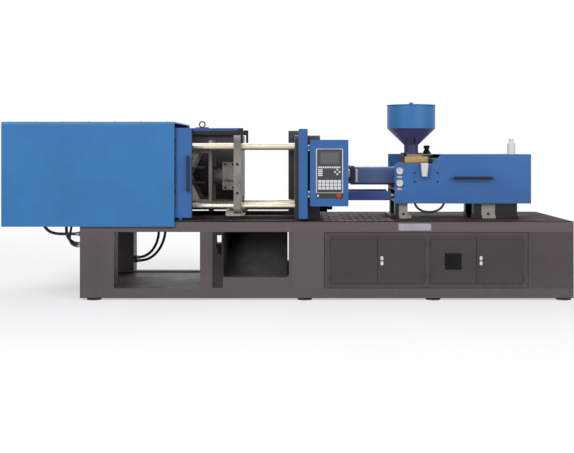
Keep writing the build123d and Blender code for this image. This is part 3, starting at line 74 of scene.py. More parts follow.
def ranged(tree, value, low, high, toLow=0.0, toHigh=1.0):
    node = put(tree, "ShaderNodeMapRange", i0=value, i1=low, i2=high, i3=toLow, i4=toHigh)
    return node.outputs[0]


def mixed(tree, factor, first, second):
    node = put(tree, "ShaderNodeMix", {"data_type": "RGBA"}, i0=factor, i6=first, i7=second)
    return node.outputs[2]


def noise(tree, coords, scale, detail, rough=0.55, stretch=None):
    if stretch:
        coords = put(tree, "ShaderNodeMapping", Vector=coords, Scale=stretch).outputs[0]
    made = put(tree, "ShaderNodeTexNoise", Vector=coords, Scale=scale, Detail=detail,
               Roughness=rough)
    return made.outputs[0]


def boxMask(tree, split, low, high):
    # 1 inside a box given in metres; None leaves a side open
    mask = None
    for axis in range(3):
        for limit, operation in ((low[axis], "GREATER_THAN"), (high[axis], "LESS_THAN")):
            if limit is None:
                continue
            test = math2(tree, operation, split.outputs[axis], limit)
            mask = test if mask is None else math2(tree, "MULTIPLY", mask, test)
    return mask


def zoned(tree, coords, tone, zones):
    if not zones:
        return tone
    split = put(tree, "ShaderNodeSeparateXYZ", Vector=coords)
    for zoneColour, low, high in zones:
        tone = mixed(tree, boxMask(tree, split, low, high), tone, zoneColour)
    return tone


def startMaterial(name):
    material = bpy.data.materials.new(name)
    material.use_nodes = True
    tree = material.node_tree
    tree.nodes.clear()
    out = tree.nodes.new("ShaderNodeOutputMaterial")
    shader = tree.nodes.new("ShaderNodeBsdfPrincipled")
    tree.links.new(shader.outputs[0], out.inputs[0])
    coords = tree.nodes.new("ShaderNodeTexCoord").outputs["Object"]
    return material, tree, shader, coords


def softEdges(tree, radius):
    return put(tree, "ShaderNodeBevel", {"samples": 4}, Radius=radius).outputs[0]


def drifted(rough, look):
    return [rough + drift for drift in look["sheenDrift"]]


def dressShader(tree, shader, tone, sheen, skin, depth, strength, rounded):
    bump = put(tree, "ShaderNodeBump", Strength=strength, Distance=depth, Height=skin,
               Normal=rounded)
    for label, value in (("Base Color", tone), ("Roughness", sheen), ("Normal", bump.outputs[0])):
        tree.links.new(value, shader.inputs[label])


# finishes; a noise is its scale, detail, roughness and stretch
paintLook = {"cloudDetail": 4.0, "cloudRange": (0.32, 0.68), "edge": 0.004,
             "edgeRange": (0.985, 0.90), "edgeWear": 0.7, "scuff": (38.0, 6.0, 0.7),
             "scuffRange": (0.46, 0.62), "patch": (9.0, 6.0, 0.65), "patchRange": (0.35, 0.72),
             "sheen": (6.0, 5.0, 0.6), "sheenRange": (0.3, 0.7), "sheenDrift": (-0.07, 0.09),
             "peel": (330.0, 2.0), "depth": 0.00016, "strength": 0.35}


def paintFinish(name, colour, shade, worn, rough=0.42, cloud=2.2, grime=None, gloss=0.3, zones=()):
    # satin machine paint: clouds, orange peel, rubbed edges, dust low down, zones of other paint
    # and of painted shade
    look = paintLook
    material, tree, shader, coords = startMaterial(name)
    drift = ranged(tree, noise(tree, coords, cloud, look["cloudDetail"]), *look["cloudRange"])
    tone = zoned(tree, coords, mixed(tree, drift, colour, shade), zones)
    scuff = ranged(tree, noise(tree, coords, *look["scuff"]), *look["scuffRange"])
    rounded = softEdges(tree, look["edge"])
    flat = put(tree, "ShaderNodeNewGeometry").outputs["Normal"]
    meet = put(tree, "ShaderNodeVectorMath", {"operation": "DOT_PRODUCT"}, i0=rounded, i1=flat)
    edges = ranged(tree, meet.outputs["Value"], *look["edgeRange"])
    rubbed = math2(tree, "MULTIPLY", edges, scuff, True)
    tone = mixed(tree, math2(tree, "MULTIPLY", rubbed, look["edgeWear"]), tone, worn)
    if grime:
        height = put(tree, "ShaderNodeSeparateXYZ", Vector=coords).outputs[2]
        height = ranged(tree, height, grime["low"], grime["high"], 1.0, 0.0)
        patch = ranged(tree, noise(tree, coords, *look["patch"]), *look["patchRange"])
        film = math2(tree, "MULTIPLY", height, patch)
        film = math2(tree, "MULTIPLY", film, grime["amount"], True)
        tone = mixed(tree, film, tone, grime["colour"])
    sheen = ranged(tree, noise(tree, coords, *look["sheen"]), *look["sheenRange"],
                   *drifted(rough, look))
    dressShader(tree, shader, tone, sheen, noise(tree, coords, *look["peel"]), look["depth"],
                look["strength"], rounded)
    shader.inputs["Specular IOR Level"].default_value = gloss
    return material


castLook = {"drift": (7.0, 5.0), "driftRange": (0.3, 0.7), "stainRange": (0.52, 0.66),
            "stain": (5.0, 7.0, 0.72, (1.0, 1.0, 0.35)), "stainAmount": 0.75,
            "roughs": (0.55, 0.33), "skin": (5.0, 0.6), "depth": 0.0009, "strength": 0.5,
            "edge": 0.006, "gloss": 0.35}


def castFinish(name, colour, shade, oil, grain=70.0, zones=()):
    # enamel over a sand casting: coarse skin, oily runs in the hollows
    look = castLook
    material, tree, shader, coords = startMaterial(name)
    drift = ranged(tree, noise(tree, coords, *look["drift"]), *look["driftRange"])
    tone = zoned(tree, coords, mixed(tree, drift, colour, shade), zones)
    stain = ranged(tree, noise(tree, coords, *look["stain"]), *look["stainRange"])
    tone = mixed(tree, math2(tree, "MULTIPLY", stain, look["stainAmount"]), tone, oil)
    sheen = ranged(tree, stain, 0.0, 1.0, *look["roughs"])
    dressShader(tree, shader, tone, sheen, noise(tree, coords, grain, *look["skin"]),
                look["depth"], look["strength"], softEdges(tree, look["edge"]))
    shader.inputs["Specular IOR Level"].default_value = look["gloss"]
    return material


steelLook = {"streak": (1.0, 4.0, 0.6), "film": (4.0, 5.0), "filmRange": (0.4, 0.72),
             "filmAmount": 0.6, "lineRange": (0.35, 0.65), "lineAmount": (0.0, 0.1),
             "lineColour": (0.16, 0.15, 0.14, 1.0), "sheenRange": (0.3, 0.7),
             "sheenDrift": (-0.06, 0.14), "strength": 0.3, "edge": 0.002}


def steelFinish(name, colour, tint, lines, rough=0.24, depth=0.00005, zones=()):
    # ground or turned steel: fine lines across the pull, faint oil tint
    look = steelLook
    material, tree, shader, coords = startMaterial(name)
    streak = noise(tree, coords, *look["streak"], lines)
    film = ranged(tree, noise(tree, coords, *look["film"]), *look["filmRange"])
    tone = mixed(tree, math2(tree, "MULTIPLY", film, look["filmAmount"]), colour, tint)
    marked = ranged(tree, streak, *look["lineRange"], *look["lineAmount"])
    tone = zoned(tree, coords, mixed(tree, marked, tone, look["lineColour"]), zones)
    sheen = ranged(tree, streak, *look["sheenRange"], *drifted(rough, look))
    dressShader(tree, shader, tone, sheen, streak, depth, look["strength"],
                softEdges(tree, look["edge"]))
    shader.inputs["Metallic"].default_value = 1.0
    return material


plasticLook = {"flow": (12.0, 3.0, 0.5, (1.0, 1.0, 0.3)), "flowRange": (0.3, 0.7),
               "sheen": (45.0, 5.0), "sheenRange": (0.3, 0.7), "sheenDrift": (-0.06, 0.08),
               "grainDetail": 2.0, "strength": 0.4, "edge": 0.0015}


def plasticFinish(name, colour, shade, rough=0.45, grain=600.0, depth=0.00012, coat=0.0, zones=()):
    # moulded plastic or rubber: fine spark grain and a faint flow mark
    look = plasticLook
    material, tree, shader, coords = startMaterial(name)
    flow = ranged(tree, noise(tree, coords, *look["flow"]), *look["flowRange"])
    tone = zoned(tree, coords, mixed(tree, flow, colour, shade), zones)
    sheen = ranged(tree, noise(tree, coords, *look["sheen"]), *look["sheenRange"],
                   *drifted(rough, look))
    dressShader(tree, shader, tone, sheen, noise(tree, coords, grain, look["grainDetail"]), depth,
                look["strength"], softEdges(tree, look["edge"]))
    shader.inputs["Coat Weight"].default_value = coat
    return material


paneLook = {"smear": (3.0, 5.0, 0.6, (1.0, 1.0, 2.5)), "smearRange": (0.45, 0.75),
            "roughs": (0.03, 0.16), "tint": (8.0, 4.0), "tintRange": (0.35, 0.65),
            "colours": (srgb(232, 240, 242), srgb(222, 232, 234)), "clear": 0.92, "bend": 1.49}


def paneFinish(name, look):
    # clear sheet with faint smears
    material, tree, shader, coords = startMaterial(name)
    smear = ranged(tree, noise(tree, coords, *look["smear"]), *look["smearRange"], *look["roughs"])
    tree.links.new(smear, shader.inputs["Roughness"])
    tint = ranged(tree, noise(tree, coords, *look["tint"]), *look["tintRange"])
    tree.links.new(mixed(tree, tint, *look["colours"]), shader.inputs["Base Color"])
    shader.inputs["Transmission Weight"].default_value = look["clear"]
    shader.inputs["IOR"].default_value = look["bend"]
    return material


blue = {"guard": srgb(57, 120, 178), "guardShade": srgb(53, 111, 168),
        "rubbed": srgb(104, 146, 190), "door": srgb(57, 104, 166), "doorShade": srgb(52, 96, 156),
        "cover": srgb(57, 105, 167), "coverShade": srgb(53, 98, 158), "deep": srgb(58, 80, 146),
        "deepShade": srgb(50, 68, 128), "hood": srgb(82, 102, 142), "hoodShade": srgb(72, 92, 132),
        "cone": srgb(88, 82, 128), "neck": srgb(58, 56, 92), "slot": srgb(24, 25, 38)}
brown = {"base": srgb(68, 59, 60), "baseShade": srgb(62, 53, 54), "rubbed": srgb(100, 90, 88),
         "frame": srgb(92, 84, 85), "frameShade": srgb(84, 76, 77), "panel": srgb(78, 69, 71),
         "panelShade": srgb(71, 62, 64), "rail": srgb(97, 86, 88), "dust": srgb(108, 100, 94),
         "line": srgb(34, 29, 30)}
black = {"paint": srgb(27, 25, 26), "shade": srgb(20, 19, 20), "rubbed": srgb(66, 63, 61),
         "bay": srgb(24, 20, 18), "bayShade": srgb(18, 15, 14)}
grey = {"block": srgb(150, 143, 136), "shoe": srgb(168, 162, 154), "paintedShade": srgb(66, 62, 64),
        "clip": srgb(176, 178, 182), "strap": srgb(196, 200, 208), "latch": srgb(96, 92, 98)}
floorDust = {"low": 0.02, "high": 0.36, "amount": 0.3, "colour": brown["dust"]}


def bluePaint(name, tone, zones=(), rough=0.4):
    return paintFinish(name, blue[tone], blue[tone + "Shade"], blue["rubbed"], rough, zones=zones)


def brownPaint(name, tone, zones=()):
    return paintFinish(name, brown[tone], brown[tone + "Shade"], brown["rubbed"], rough=0.5,
                       grime=floorDust, zones=zones)


def blackPaint(name, rough=0.42, zones=()):
    return paintFinish(name, black["paint"], black["shade"], black["rubbed"], rough, zones=zones)


guardPaint = bluePaint("guardPaint", "guard", rough=0.42)
doorPaint = bluePaint("doorPaint", "door", rough=0.42)
basePaint = brownPaint("basePaint", "base")
darkPaint = blackPaint("darkPaint", rough=0.46)
bayPaint = paintFinish("bayPaint", black["bay"], black["bayShade"], black["rubbed"], rough=0.6)
castGrey = castFinish("castGrey", srgb(118, 113, 110), srgb(96, 92, 90), srgb(44, 38, 34))
castPale = castFinish("castPale", srgb(172, 164, 160), srgb(148, 141, 137), srgb(66, 58, 54))
castDark = castFinish("castDark", srgb(70, 65, 64), srgb(54, 50, 50), srgb(28, 25, 23))
linkBeige = castFinish("linkBeige", srgb(188, 180, 158), srgb(156, 148, 130), srgb(54, 45, 38),
                       grain=110.0)
turnedSteel = steelFinish("turnedSteel", srgb(178, 175, 172), srgb(150, 142, 130),
                          (400.0, 30.0, 30.0))
zincScrew = steelFinish("zincScrew", srgb(168, 168, 166), srgb(140, 136, 128), (80.0,) * 3, 0.34)
chromePlate = steelFinish("chromePlate", srgb(225, 226, 228), srgb(205, 206, 208), (60.0,) * 3, 0.1,
                          depth=0.00001)
wornBrass = steelFinish("wornBrass", srgb(186, 160, 108), srgb(140, 114, 72), (120.0,) * 3, 0.34)
blackPlastic = plasticFinish("blackPlastic", srgb(26, 26, 28), srgb(20, 20, 22))
whitePlastic = plasticFinish("whitePlastic", srgb(226, 225, 220), srgb(212, 211, 204), rough=0.4)
dialWhite = plasticFinish("dialWhite", srgb(220, 220, 214), srgb(208, 208, 200), rough=0.3,
                          coat=0.6)
redPlastic = plasticFinish("redPlastic", srgb(190, 34, 28), srgb(170, 26, 22), rough=0.26,
                           coat=0.5)
hoseRubber = plasticFinish("hoseRubber", srgb(24, 23, 23), srgb(34, 32, 31), rough=0.6,
                           grain=900.0, depth=0.0002)
sealRubber = plasticFinish("sealRubber", srgb(18, 18, 19), srgb(26, 25, 25), rough=0.66,
                           grain=400.0, depth=0.0003)
clearPane = paneFinish("clearPane", paneLook)
print("finishes made:", len(bpy.data.materials))


# what each node wears; a zone is a colour and the low and high corners of its box in metres
panelSet = {"left": 0.261, "right": 0.511, "high": 1.402, "border": 0.009, "stripHigh": 0.996,
            "screen": (0.280, 0.492, 1.242, 1.390), "lip": 0.006, "inner": 0.022, "gap": 0.004,
            "keyFace": -0.6325, "dark": srgb(28, 28, 32), "pale": srgb(214, 216, 220),
            "paleShade": srgb(200, 202, 206), "field": srgb(46, 46, 52), "bezel": srgb(54, 54, 58),
            "glass": srgb(84, 86, 88)}


def panelFinish(spec):
    # membrane panel: pale frame, dark window and strip, pale raised keys on a dark field
    left, right, rim, strip = spec["left"], spec["right"], spec["border"], spec["stripHigh"]
    screenLeft, screenRight, screenLow, screenHigh = spec["screen"]

    def screenZone(colour, grow):
        return (colour, (screenLeft - grow, None, screenLow - grow),
                (screenRight + grow, None, screenHigh + grow))

    zones = [
        (spec["field"], (left + rim, None, strip), (right - rim, None, spec["high"] - rim)),
        screenZone(spec["dark"], spec["lip"]),
        screenZone(spec["bezel"], 0.0),
        screenZone(spec["glass"], -spec["inner"]),
        (spec["dark"], (None, None, None), (None, None, strip - spec["gap"])),
        (spec["pale"], (left, None, strip), (right, spec["keyFace"], screenLow - spec["gap"])),
    ]
    return plasticFinish("panelFilm", spec["pale"], spec["paleShade"], rough=0.38, grain=900.0,
                         depth=0.00005, coat=0.25, zones=zones)


coverMarks = {"face": -0.2803, "gauges": [(1.078, 1.186), (1.078, 1.070)], "gaugeSide": 0.045,
              "gaugeDown": 0.085, "gaugeUp": 0.036, "boltHalf": 0.011,
              "bolts": [(x, z) for z in (1.167, 1.083) for x in (1.222, 1.444)]}
coverZones = [(black["paint"], (1.590, None, 1.092), (1.962, -0.2815, 1.150))]
for x, z in coverMarks["gauges"]:
    side = coverMarks["gaugeSide"]
    coverZones.append((grey["clip"], (x - side, None, z - coverMarks["gaugeDown"]),
                       (x + side, coverMarks["face"], z + coverMarks["gaugeUp"])))
for x, z in coverMarks["bolts"]:
    half = coverMarks["boltHalf"]
    coverZones.append((black["paint"], (x - half, None, z - half),
                       (x + half, coverMarks["face"], z + half)))

seam = {"left": 0.339, "right": 2.222, "low": 0.1125, "high": 0.6285, "half": 0.004,
        "face": -0.6245}
seamZones = [(brown["frame"], (None, None, None), (seam["left"], seam["face"], None))]
for x in (seam["left"], seam["right"]):
    seamZones.append((brown["line"], (x - seam["half"], None, seam["low"]),
                      (x + seam["half"], seam["face"], seam["high"])))
for z in (seam["low"], seam["high"]):
    seamZones.append((brown["line"], (seam["left"], None, z - seam["half"]),
                      (seam["right"], seam["face"], z + seam["half"])))

# cone and neck painted darker towards the bottom: partly painted shade under the downward-facing
# cone, partly dirt; the narrow slot is painted near-black, painted shade of an opening
hopperZones = [(blue["cone"], (None, None, None), (None, None, 1.6)),
               (blue["neck"], (None, None, None), (None, None, 1.437)),
               (blue["slot"], (1.239, None, 1.456), (1.254, 0.0, 1.505))]
# the inner side of the near leg is painted near-black: painted shade inside the bay; the bay floor
# is painted darker
frameZones = [(brown["rail"], (None, None, 0.6312), (None, None, 0.7225)),
              (black["paint"], (-0.697, None, 0.113), (-0.599, -0.48, 0.631)),
              (black["bay"], (-1.609, -0.6235, 0.113), (-1.600, 0.0, 0.631)),
              (brown["base"], (-1.607, -0.6235, 0.090), (-0.812, 0.6235, 0.112))]
railZones = [(black["paint"], (None, None, None), (None, None, 1.566)),
             (black["paint"], (-0.864, None, 1.5935), (-0.732, None, None)),
             (black["paint"], (-0.4645, None, None), (None, None, None))]
supportZones = [(grey["block"], (1.076, None, None), (1.195, None, 0.90)),
                (grey["block"], (1.875, None, None), (2.005, None, 0.90))]
# the door leaf behind the vent slats is painted near-black: painted shade of the cabinet inside
ventShade = [(black["bay"], (1.450, None, 0.285), (1.606, None, 0.441))]
# the inside face of the rear door and the rear parts of the column covers are painted dark grey:
# painted shade inside the guard
doorInsideShade = [(grey["paintedShade"], (None, None, None), (None, 0.6045, None))]
rearPostShade = [(grey["paintedShade"], (None, 0.0, None), (0.1025, None, None))]
# the band below 1.066 m is painted black: painted shade along the cover's lower edge; the black
# collar end and the pale strap are the cover's own paint
hoodZones = [(black["paint"], (None, None, None), (0.6565, None, None)),
             (black["paint"], (None, None, None), (None, None, 1.066)),
             (grey["strap"], (0.668, None, 1.075), (0.686, -0.1285, 1.205))]
shoeZone = [(grey["shoe"], (None, None, None), (None, None, 0.79))]
nutZones = [(black["paint"], (None, None, None), (-1.399, None, None)),
            (black["paint"], (0.3085, None, None), (None, None, None))]
knobZone = [(black["paint"], (1.331, None, 1.348), (None, None, None)),
            (black["paint"], (None, None, None), (1.168, None, None))]
latchLow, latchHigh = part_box("door_latch_left")
latchMiddle = (latchLow[2] + latchHigh[2]) / 2
latchGap = 0.007
latchZone = [(grey["latch"], (None, None, latchMiddle - latchGap),
              (None, None, latchMiddle + latchGap))]
latchPlate = steelFinish("latchPlate", srgb(216, 213, 220), srgb(188, 184, 192), (60.0,) * 3, 0.3,
                         zones=latchZone)

wear = {
    "base_frame": brownPaint("framePaint", "frame", frameZones),
    "deck_plate": paintFinish("deckPaint", srgb(62, 54, 53), srgb(46, 39, 38), brown["rubbed"],
                              rough=0.62, cloud=5.0, gloss=0.04),
    "cabinet_panels": brownPaint("panelPaint", "panel", seamZones),
    "drop_chute": bayPaint, "oil_tank": basePaint, "pump_motor": castGrey,
    "levelling_feet": castDark, "clamp_guard": guardPaint, "rear_platen": castGrey,
    "fixed_platen": castDark, "clamp_cylinder": castGrey, "carriage_rods": turnedSteel,
    "tie_bars": steelFinish("groundBar", srgb(226, 216, 200), srgb(208, 194, 164),
                            (110.0, 9.0, 9.0), 0.3, depth=0.00002, zones=nutZones),
    "door_rails": bluePaint("railPaint", "deep", railZones),
    "column_covers": bluePaint("columnPaintAndShade", "door", rearPostShade),
    "injection_supports": blackPaint("supportPaint", zones=supportZones),
    "carriage_cylinders": bluePaint("pullPaint", "deep"), "crosshead": castPale,
    "upper_rear_links": linkBeige, "upper_front_links": linkBeige, "upper_short_links": linkBeige,
    "lower_rear_links": linkBeige, "lower_front_links": linkBeige, "lower_short_links": linkBeige,
    "moving_platen": castFinish("platenEnamel", srgb(150, 143, 138), srgb(126, 120, 116),
                                srgb(58, 51, 46), zones=shoeZone),
    "ejector_housing": castPale, "ejector_bar": turnedSteel, "front_door": doorPaint,
    "front_door_window": clearPane, "front_door_handle": blackPlastic,
    "rear_door": bluePaint("rearDoorPaintAndShade", "door", doorInsideShade), "control_box": doorPaint,
    "control_panel": panelFinish(panelSet), "emergency_stop": redPlastic,
    "key_switch": chromePlate, "carriage_frame": castGrey, "barrel": turnedSteel,
    "barrel_cover": bluePaint("hoodPaint", "hood", hoodZones), "injection_cylinders": castGrey,
    "injection_cover": bluePaint("coverPaint", "cover", coverZones),
    "hopper": bluePaint("hopperPaint", "guard", hopperZones), "hopper_lid": guardPaint,
    "hopper_base": steelFinish("gateBrass", srgb(150, 132, 100), srgb(100, 84, 60), (120.0,) * 3,
                               0.4, zones=knobZone),
    "hopper_gate": wornBrass, "discharge_chute": whitePlastic, "lubricator": whitePlastic,
    "screw": turnedSteel, "screw_motor": darkPaint, "cabinet_door_1": basePaint,
    "cabinet_door_2": basePaint, "cabinet_door_4": basePaint,
    "cabinet_door_3": brownPaint("ventDoorPaintAndShade", "base", ventShade),
    "door_latch_left": latchPlate, "door_latch_right": latchPlate,
    "hose_guard_long": hoseRubber, "hose_guard_front": hoseRubber, "hose_guard_rear": hoseRubber,
    "hose_lower_near": hoseRubber, "hose_lower_far": hoseRubber, "hose_injection": hoseRubber,
}
for nodeName, node in cadNodes.items():
    node.data.materials.clear()
    node.data.materials.append(wear[nodeName])
print("nodes dressed:", len(wear))

# the six hoses, on the same points as their solids; a route is pairs of x and z
hoseSet = {
    "hose_guard_long": {"body": "base", "radius": 0.014, "y": -0.538, "length": 0.449, "route": [
        (-2.292, 0.774), (-2.292, 0.721), (-2.270, 0.670), (-2.231, 0.630), (-2.180, 0.610),
        (-2.110, 0.604), (-2.028, 0.606), (-1.948, 0.606)]},
    "hose_guard_front": {"body": "base", "radius": 0.014, "y": -0.446, "length": 0.360, "route": [
        (-2.088, 0.774), (-2.088, 0.716), (-2.092, 0.655), (-2.088, 0.600), (-2.071, 0.555),
        (-2.038, 0.522), (-1.996, 0.505), (-1.948, 0.505)]},
    "hose_guard_rear": {"body": "base", "radius": 0.011, "y": -0.494, "length": 0.358, "route": [
        (-2.023, 0.774), (-2.023, 0.714), (-2.034, 0.655), (-2.044, 0.600), (-2.048, 0.546),
        (-2.037, 0.518), (-2.016, 0.497), (-1.988, 0.486), (-1.948, 0.486)]},
    "hose_lower_near": {"body": "base", "radius": 0.014, "y": 0.470, "length": 0.470, "route": [
        (-1.581, 0.262), (-1.535, 0.262), (-1.480, 0.282), (-1.428, 0.322), (-1.388, 0.380),
        (-1.361, 0.450), (-1.349, 0.525), (-1.349, 0.605)]},
    "hose_lower_far": {"body": "base", "radius": 0.014, "y": 0.520, "length": 0.547, "route": [
        (-1.581, 0.222), (-1.530, 0.222), (-1.462, 0.240), (-1.398, 0.284), (-1.345, 0.350),
        (-1.308, 0.430), (-1.290, 0.510), (-1.288, 0.560), (-1.288, 0.605)]},
    "hose_injection": {"body": "carriage", "radius": 0.011, "y": -0.262, "length": 0.555, "route": [
        (1.215, 0.974), (1.215, 0.930), (1.222, 0.880), (1.246, 0.834), (1.288, 0.803),
        (1.340, 0.790), (1.394, 0.790), (1.446, 0.803), (1.488, 0.834), (1.513, 0.880),
        (1.520, 0.930), (1.520, 0.974)]},
}
hoseCurve = {"steps": 10, "sides": 6, "order": 3}
for nodeName, spec in hoseSet.items():
    line = bpy.data.curves.new("rubber_" + nodeName, "CURVE")
    line.dimensions = "3D"
    line.resolution_u = hoseCurve["steps"]
    line.bevel_depth = spec["radius"]
    line.bevel_resolution = hoseCurve["sides"]
    spline = line.splines.new("NURBS")
    spline.points.add(len(spec["route"]) - 1)
    for point, (x, z) in zip(spline.points, spec["route"]):
        point.co = (x, spec["y"], z, 1.0)
    spline.order_u = hoseCurve["order"]
    spline.use_endpoint_u = True
    line.materials.append(hoseRubber)
    hose = bpy.data.objects.new("rubber_" + nodeName, line)
    bpy.context.scene.collection.objects.link(hose)
    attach(hose, spec["body"])
    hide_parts(nodeName)
print("hoses laid:", len(hoseSet))


# geometry node helpers
def openTree(name, floats, counts=()):
    tree = bpy.data.node_groups.new(name, "GeometryNodeTree")
    labels = [("Geometry", "Geometry"), *((label, "Float") for label in floats),
              *((label, "Int") for label in counts), ("Finish", "Material")]
    for label, kind in labels:
        tree.interface.new_socket(label, in_out="INPUT", socket_type="NodeSocket" + kind)
    tree.interface.new_socket("Geometry", in_out="OUTPUT", socket_type="NodeSocketGeometry")
    return tree, tree.nodes.new("NodeGroupInput").outputs


def closeTree(tree, given, points, piece, turn):
    spread = put(tree, "GeometryNodeInstanceOnPoints", Points=points, Instance=piece,
                 Rotation=turn)
    real = put(tree, "GeometryNodeRealizeInstances", Geometry=spread.outputs[0])
    dressed = put(tree, "GeometryNodeSetMaterial", Geometry=real.outputs[0],
                  Material=given["Finish"])
    tree.links.new(dressed.outputs[0], tree.nodes.new("NodeGroupOutput").inputs[0])
    return tree


def joinAxes(tree, x=0.0, y=0.0, z=0.0):
    return put(tree, "ShaderNodeCombineXYZ", X=x, Y=y, Z=z).outputs[0]


def scaled(tree, value, share):
    return math2(tree, "MULTIPLY", value, share)


def turned(tree, **angles):
    return put(tree, "FunctionNodeEulerToRotation", i0=joinAxes(tree, **angles)).outputs[0]


def alignTo(tree, axis, vector):
    node = put(tree, "FunctionNodeAlignRotationToVector", {"axis": axis}, Vector=vector)
    return node.outputs[0]


def alongFacing(tree):
    facing = put(tree, "GeometryNodeInputNamedAttribute", {"data_type": "FLOAT_VECTOR"},
                 Name="facing")
    return alignTo(tree, "Z", facing.outputs[0])


screwShape = {"sides": 14, "socketSides": 6, "taper": 0.8}


def screwTree(shape):
    # a cap head with a six-sided socket, set on each point along its facing
    tree, given = openTree("screwHeads", ("Head Radius", "Head Height", "Socket Radius"))
    head = put(tree, "GeometryNodeMeshCone", Vertices=shape["sides"], Depth=given["Head Height"],
               Radius_Bottom=given["Head Radius"],
               Radius_Top=scaled(tree, given["Head Radius"], shape["taper"]))
    socket = put(tree, "GeometryNodeMeshCylinder", Vertices=shape["socketSides"],
                 Radius=given["Socket Radius"], Depth=given["Head Height"])
    lifted = put(tree, "GeometryNodeTransform", Geometry=socket.outputs[0],
                 Translation=joinAxes(tree, z=given["Head Height"]))
    cut = put(tree, "GeometryNodeMeshBoolean", {"operation": "DIFFERENCE"},
              Mesh_1=head.outputs[0], Mesh_2=lifted.outputs[0])
    return closeTree(tree, given, given["Geometry"], cut.outputs[0], alongFacing(tree))


ferruleShape = {"nutSides": 6, "sleeveSides": 20, "taper": 0.9, "beadLength": 0.25,
                "beadRadius": 1.08}


def ferruleTree(shape):
    # a six-sided nut and a crimped sleeve, set on each hose end along its facing
    tree, given = openTree("hoseEnds", ("Nut Radius", "Nut Length", "Sleeve Radius",
                                        "Sleeve Length"))
    nut = put(tree, "GeometryNodeMeshCylinder", Vertices=shape["nutSides"],
              Radius=given["Nut Radius"], Depth=given["Nut Length"])
    sleeve = put(tree, "GeometryNodeMeshCone", Vertices=shape["sleeveSides"],
                 Radius_Bottom=given["Sleeve Radius"], Depth=given["Sleeve Length"],
                 Radius_Top=scaled(tree, given["Sleeve Radius"], shape["taper"]))
    bead = put(tree, "GeometryNodeMeshCylinder", Vertices=shape["sleeveSides"],
               Depth=scaled(tree, given["Nut Length"], shape["beadLength"]),
               Radius=scaled(tree, given["Sleeve Radius"], shape["beadRadius"]))
    moved = put(tree, "GeometryNodeTransform", Geometry=bead.outputs[0],
                Translation=joinAxes(tree, z=given["Sleeve Length"]))
    parts = tree.nodes.new("GeometryNodeJoinGeometry")
    for made in (moved, sleeve, nut):
        tree.links.new(made.outputs[0], parts.inputs[0])
    return closeTree(tree, given, given["Geometry"], parts.outputs[0], alongFacing(tree))


lugShape = {"segments": 12, "rings": 6}


def treadTree(shape):
    # low lugs on a grid, all turned one way, so that they line up as slanting ribs
    tree, given = openTree("treadLugs", ("Field Length", "Field Depth", "Lug Length", "Lug Width",
                                         "Lug Rise", "Turn"), ("Count Long", "Count Deep"))
    field = put(tree, "GeometryNodeMeshGrid", Size_X=given["Field Length"],
                Size_Y=given["Field Depth"], Vertices_X=given["Count Long"],
                Vertices_Y=given["Count Deep"])
    lug = put(tree, "GeometryNodeMeshUVSphere", Segments=shape["segments"], Rings=shape["rings"],
              Radius=1.0)
    flat = put(tree, "GeometryNodeTransform", Geometry=lug.outputs[0],
               Scale=joinAxes(tree, given["Lug Length"], given["Lug Width"], given["Lug Rise"]))
    return closeTree(tree, given, field.outputs[0], flat.outputs[0], turned(tree, z=given["Turn"]))


def slatTree():
    # tilted slats up a vent
    tree, given = openTree("ventSlats", ("Pitch", "Slat Length", "Slat Depth", "Slat Sheet",
                                         "Tilt"), ("Count",))
    stack = put(tree, "GeometryNodeMeshLine", Count=given["Count"],
                Offset=joinAxes(tree, z=given["Pitch"]))
    size = joinAxes(tree, given["Slat Length"], given["Slat Depth"], given["Slat Sheet"])
    slat = put(tree, "GeometryNodeMeshCube", Size=size)
    return closeTree(tree, given, stack.outputs[0], slat.outputs[0], turned(tree, x=given["Tilt"]))


arcShape = {"steps": 40, "start": math.radians(-45), "sweep": math.radians(270)}


def tickTree(shape):
    # marks along three quarters of a dial
    tree, given = openTree("dialTicks", ("Dial Radius", "Tick Length", "Tick Width", "Tick Rise"),
                           ("Count",))
    arc = put(tree, "GeometryNodeCurveArc", Resolution=shape["steps"], Radius=given["Dial Radius"],
              Start_Angle=shape["start"], Sweep_Angle=shape["sweep"])
    spots = put(tree, "GeometryNodeCurveToPoints", {"mode": "COUNT"}, Curve=arc.outputs[0],
                Count=given["Count"])
    size = joinAxes(tree, given["Tick Length"], given["Tick Width"], given["Tick Rise"])
    tick = put(tree, "GeometryNodeMeshCube", Size=size)
    outward = alignTo(tree, "X", put(tree, "GeometryNodeInputPosition").outputs[0])
    return closeTree(tree, given, spots.outputs[0], tick.outputs[0], outward)


def pointMesh(spots):
    # spots are pairs of place and facing; a tree with points of its own gets one bare point
    mesh = bpy.data.meshes.new("spots")
    mesh.from_pydata([place for place, facing in spots] or [(0, 0, 0)], [], [])
    if spots:
        facings = mesh.attributes.new("facing", "FLOAT_VECTOR", "POINT")
        for item, (place, facing) in zip(facings.data, spots):
            item.vector = facing
    return mesh


def growMesh(tree, spots, values, matrix=None):
    holder = bpy.data.objects.new("holder", pointMesh(spots))
    bpy.context.scene.collection.objects.link(holder)
    modifier = holder.modifiers.new(tree.name, "NODES")
    modifier.node_group = tree
    for item in tree.interface.items_tree:
        if item.item_type == "SOCKET" and item.in_out == "INPUT" and item.name in values:
            modifier[item.identifier] = values[item.name]
    ready = holder.evaluated_get(bpy.context.evaluated_depsgraph_get())
    mesh = bpy.data.meshes.new_from_object(ready)
    holder.modifiers.remove(modifier)
    bpy.data.objects.remove(holder)
    if matrix:
        mesh.transform(matrix)
    return mesh


def addPiece(name, mesh, body, material=None):
    if material:
        mesh.materials.clear()
        mesh.materials.append(material)
    mesh.name = name
    piece = bpy.data.objects.new(name, mesh)
    bpy.context.scene.collection.objects.link(piece)
    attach(piece, body)


# mesh helpers
def meshFrom(made, name):
    mesh = bpy.data.meshes.new(name)
    made.to_mesh(mesh)
    made.free()
    return mesh


def oneMesh(meshes):
    made = bmesh.new()
    for mesh in meshes:
        made.from_mesh(mesh)
    return meshFrom(made, "joined")


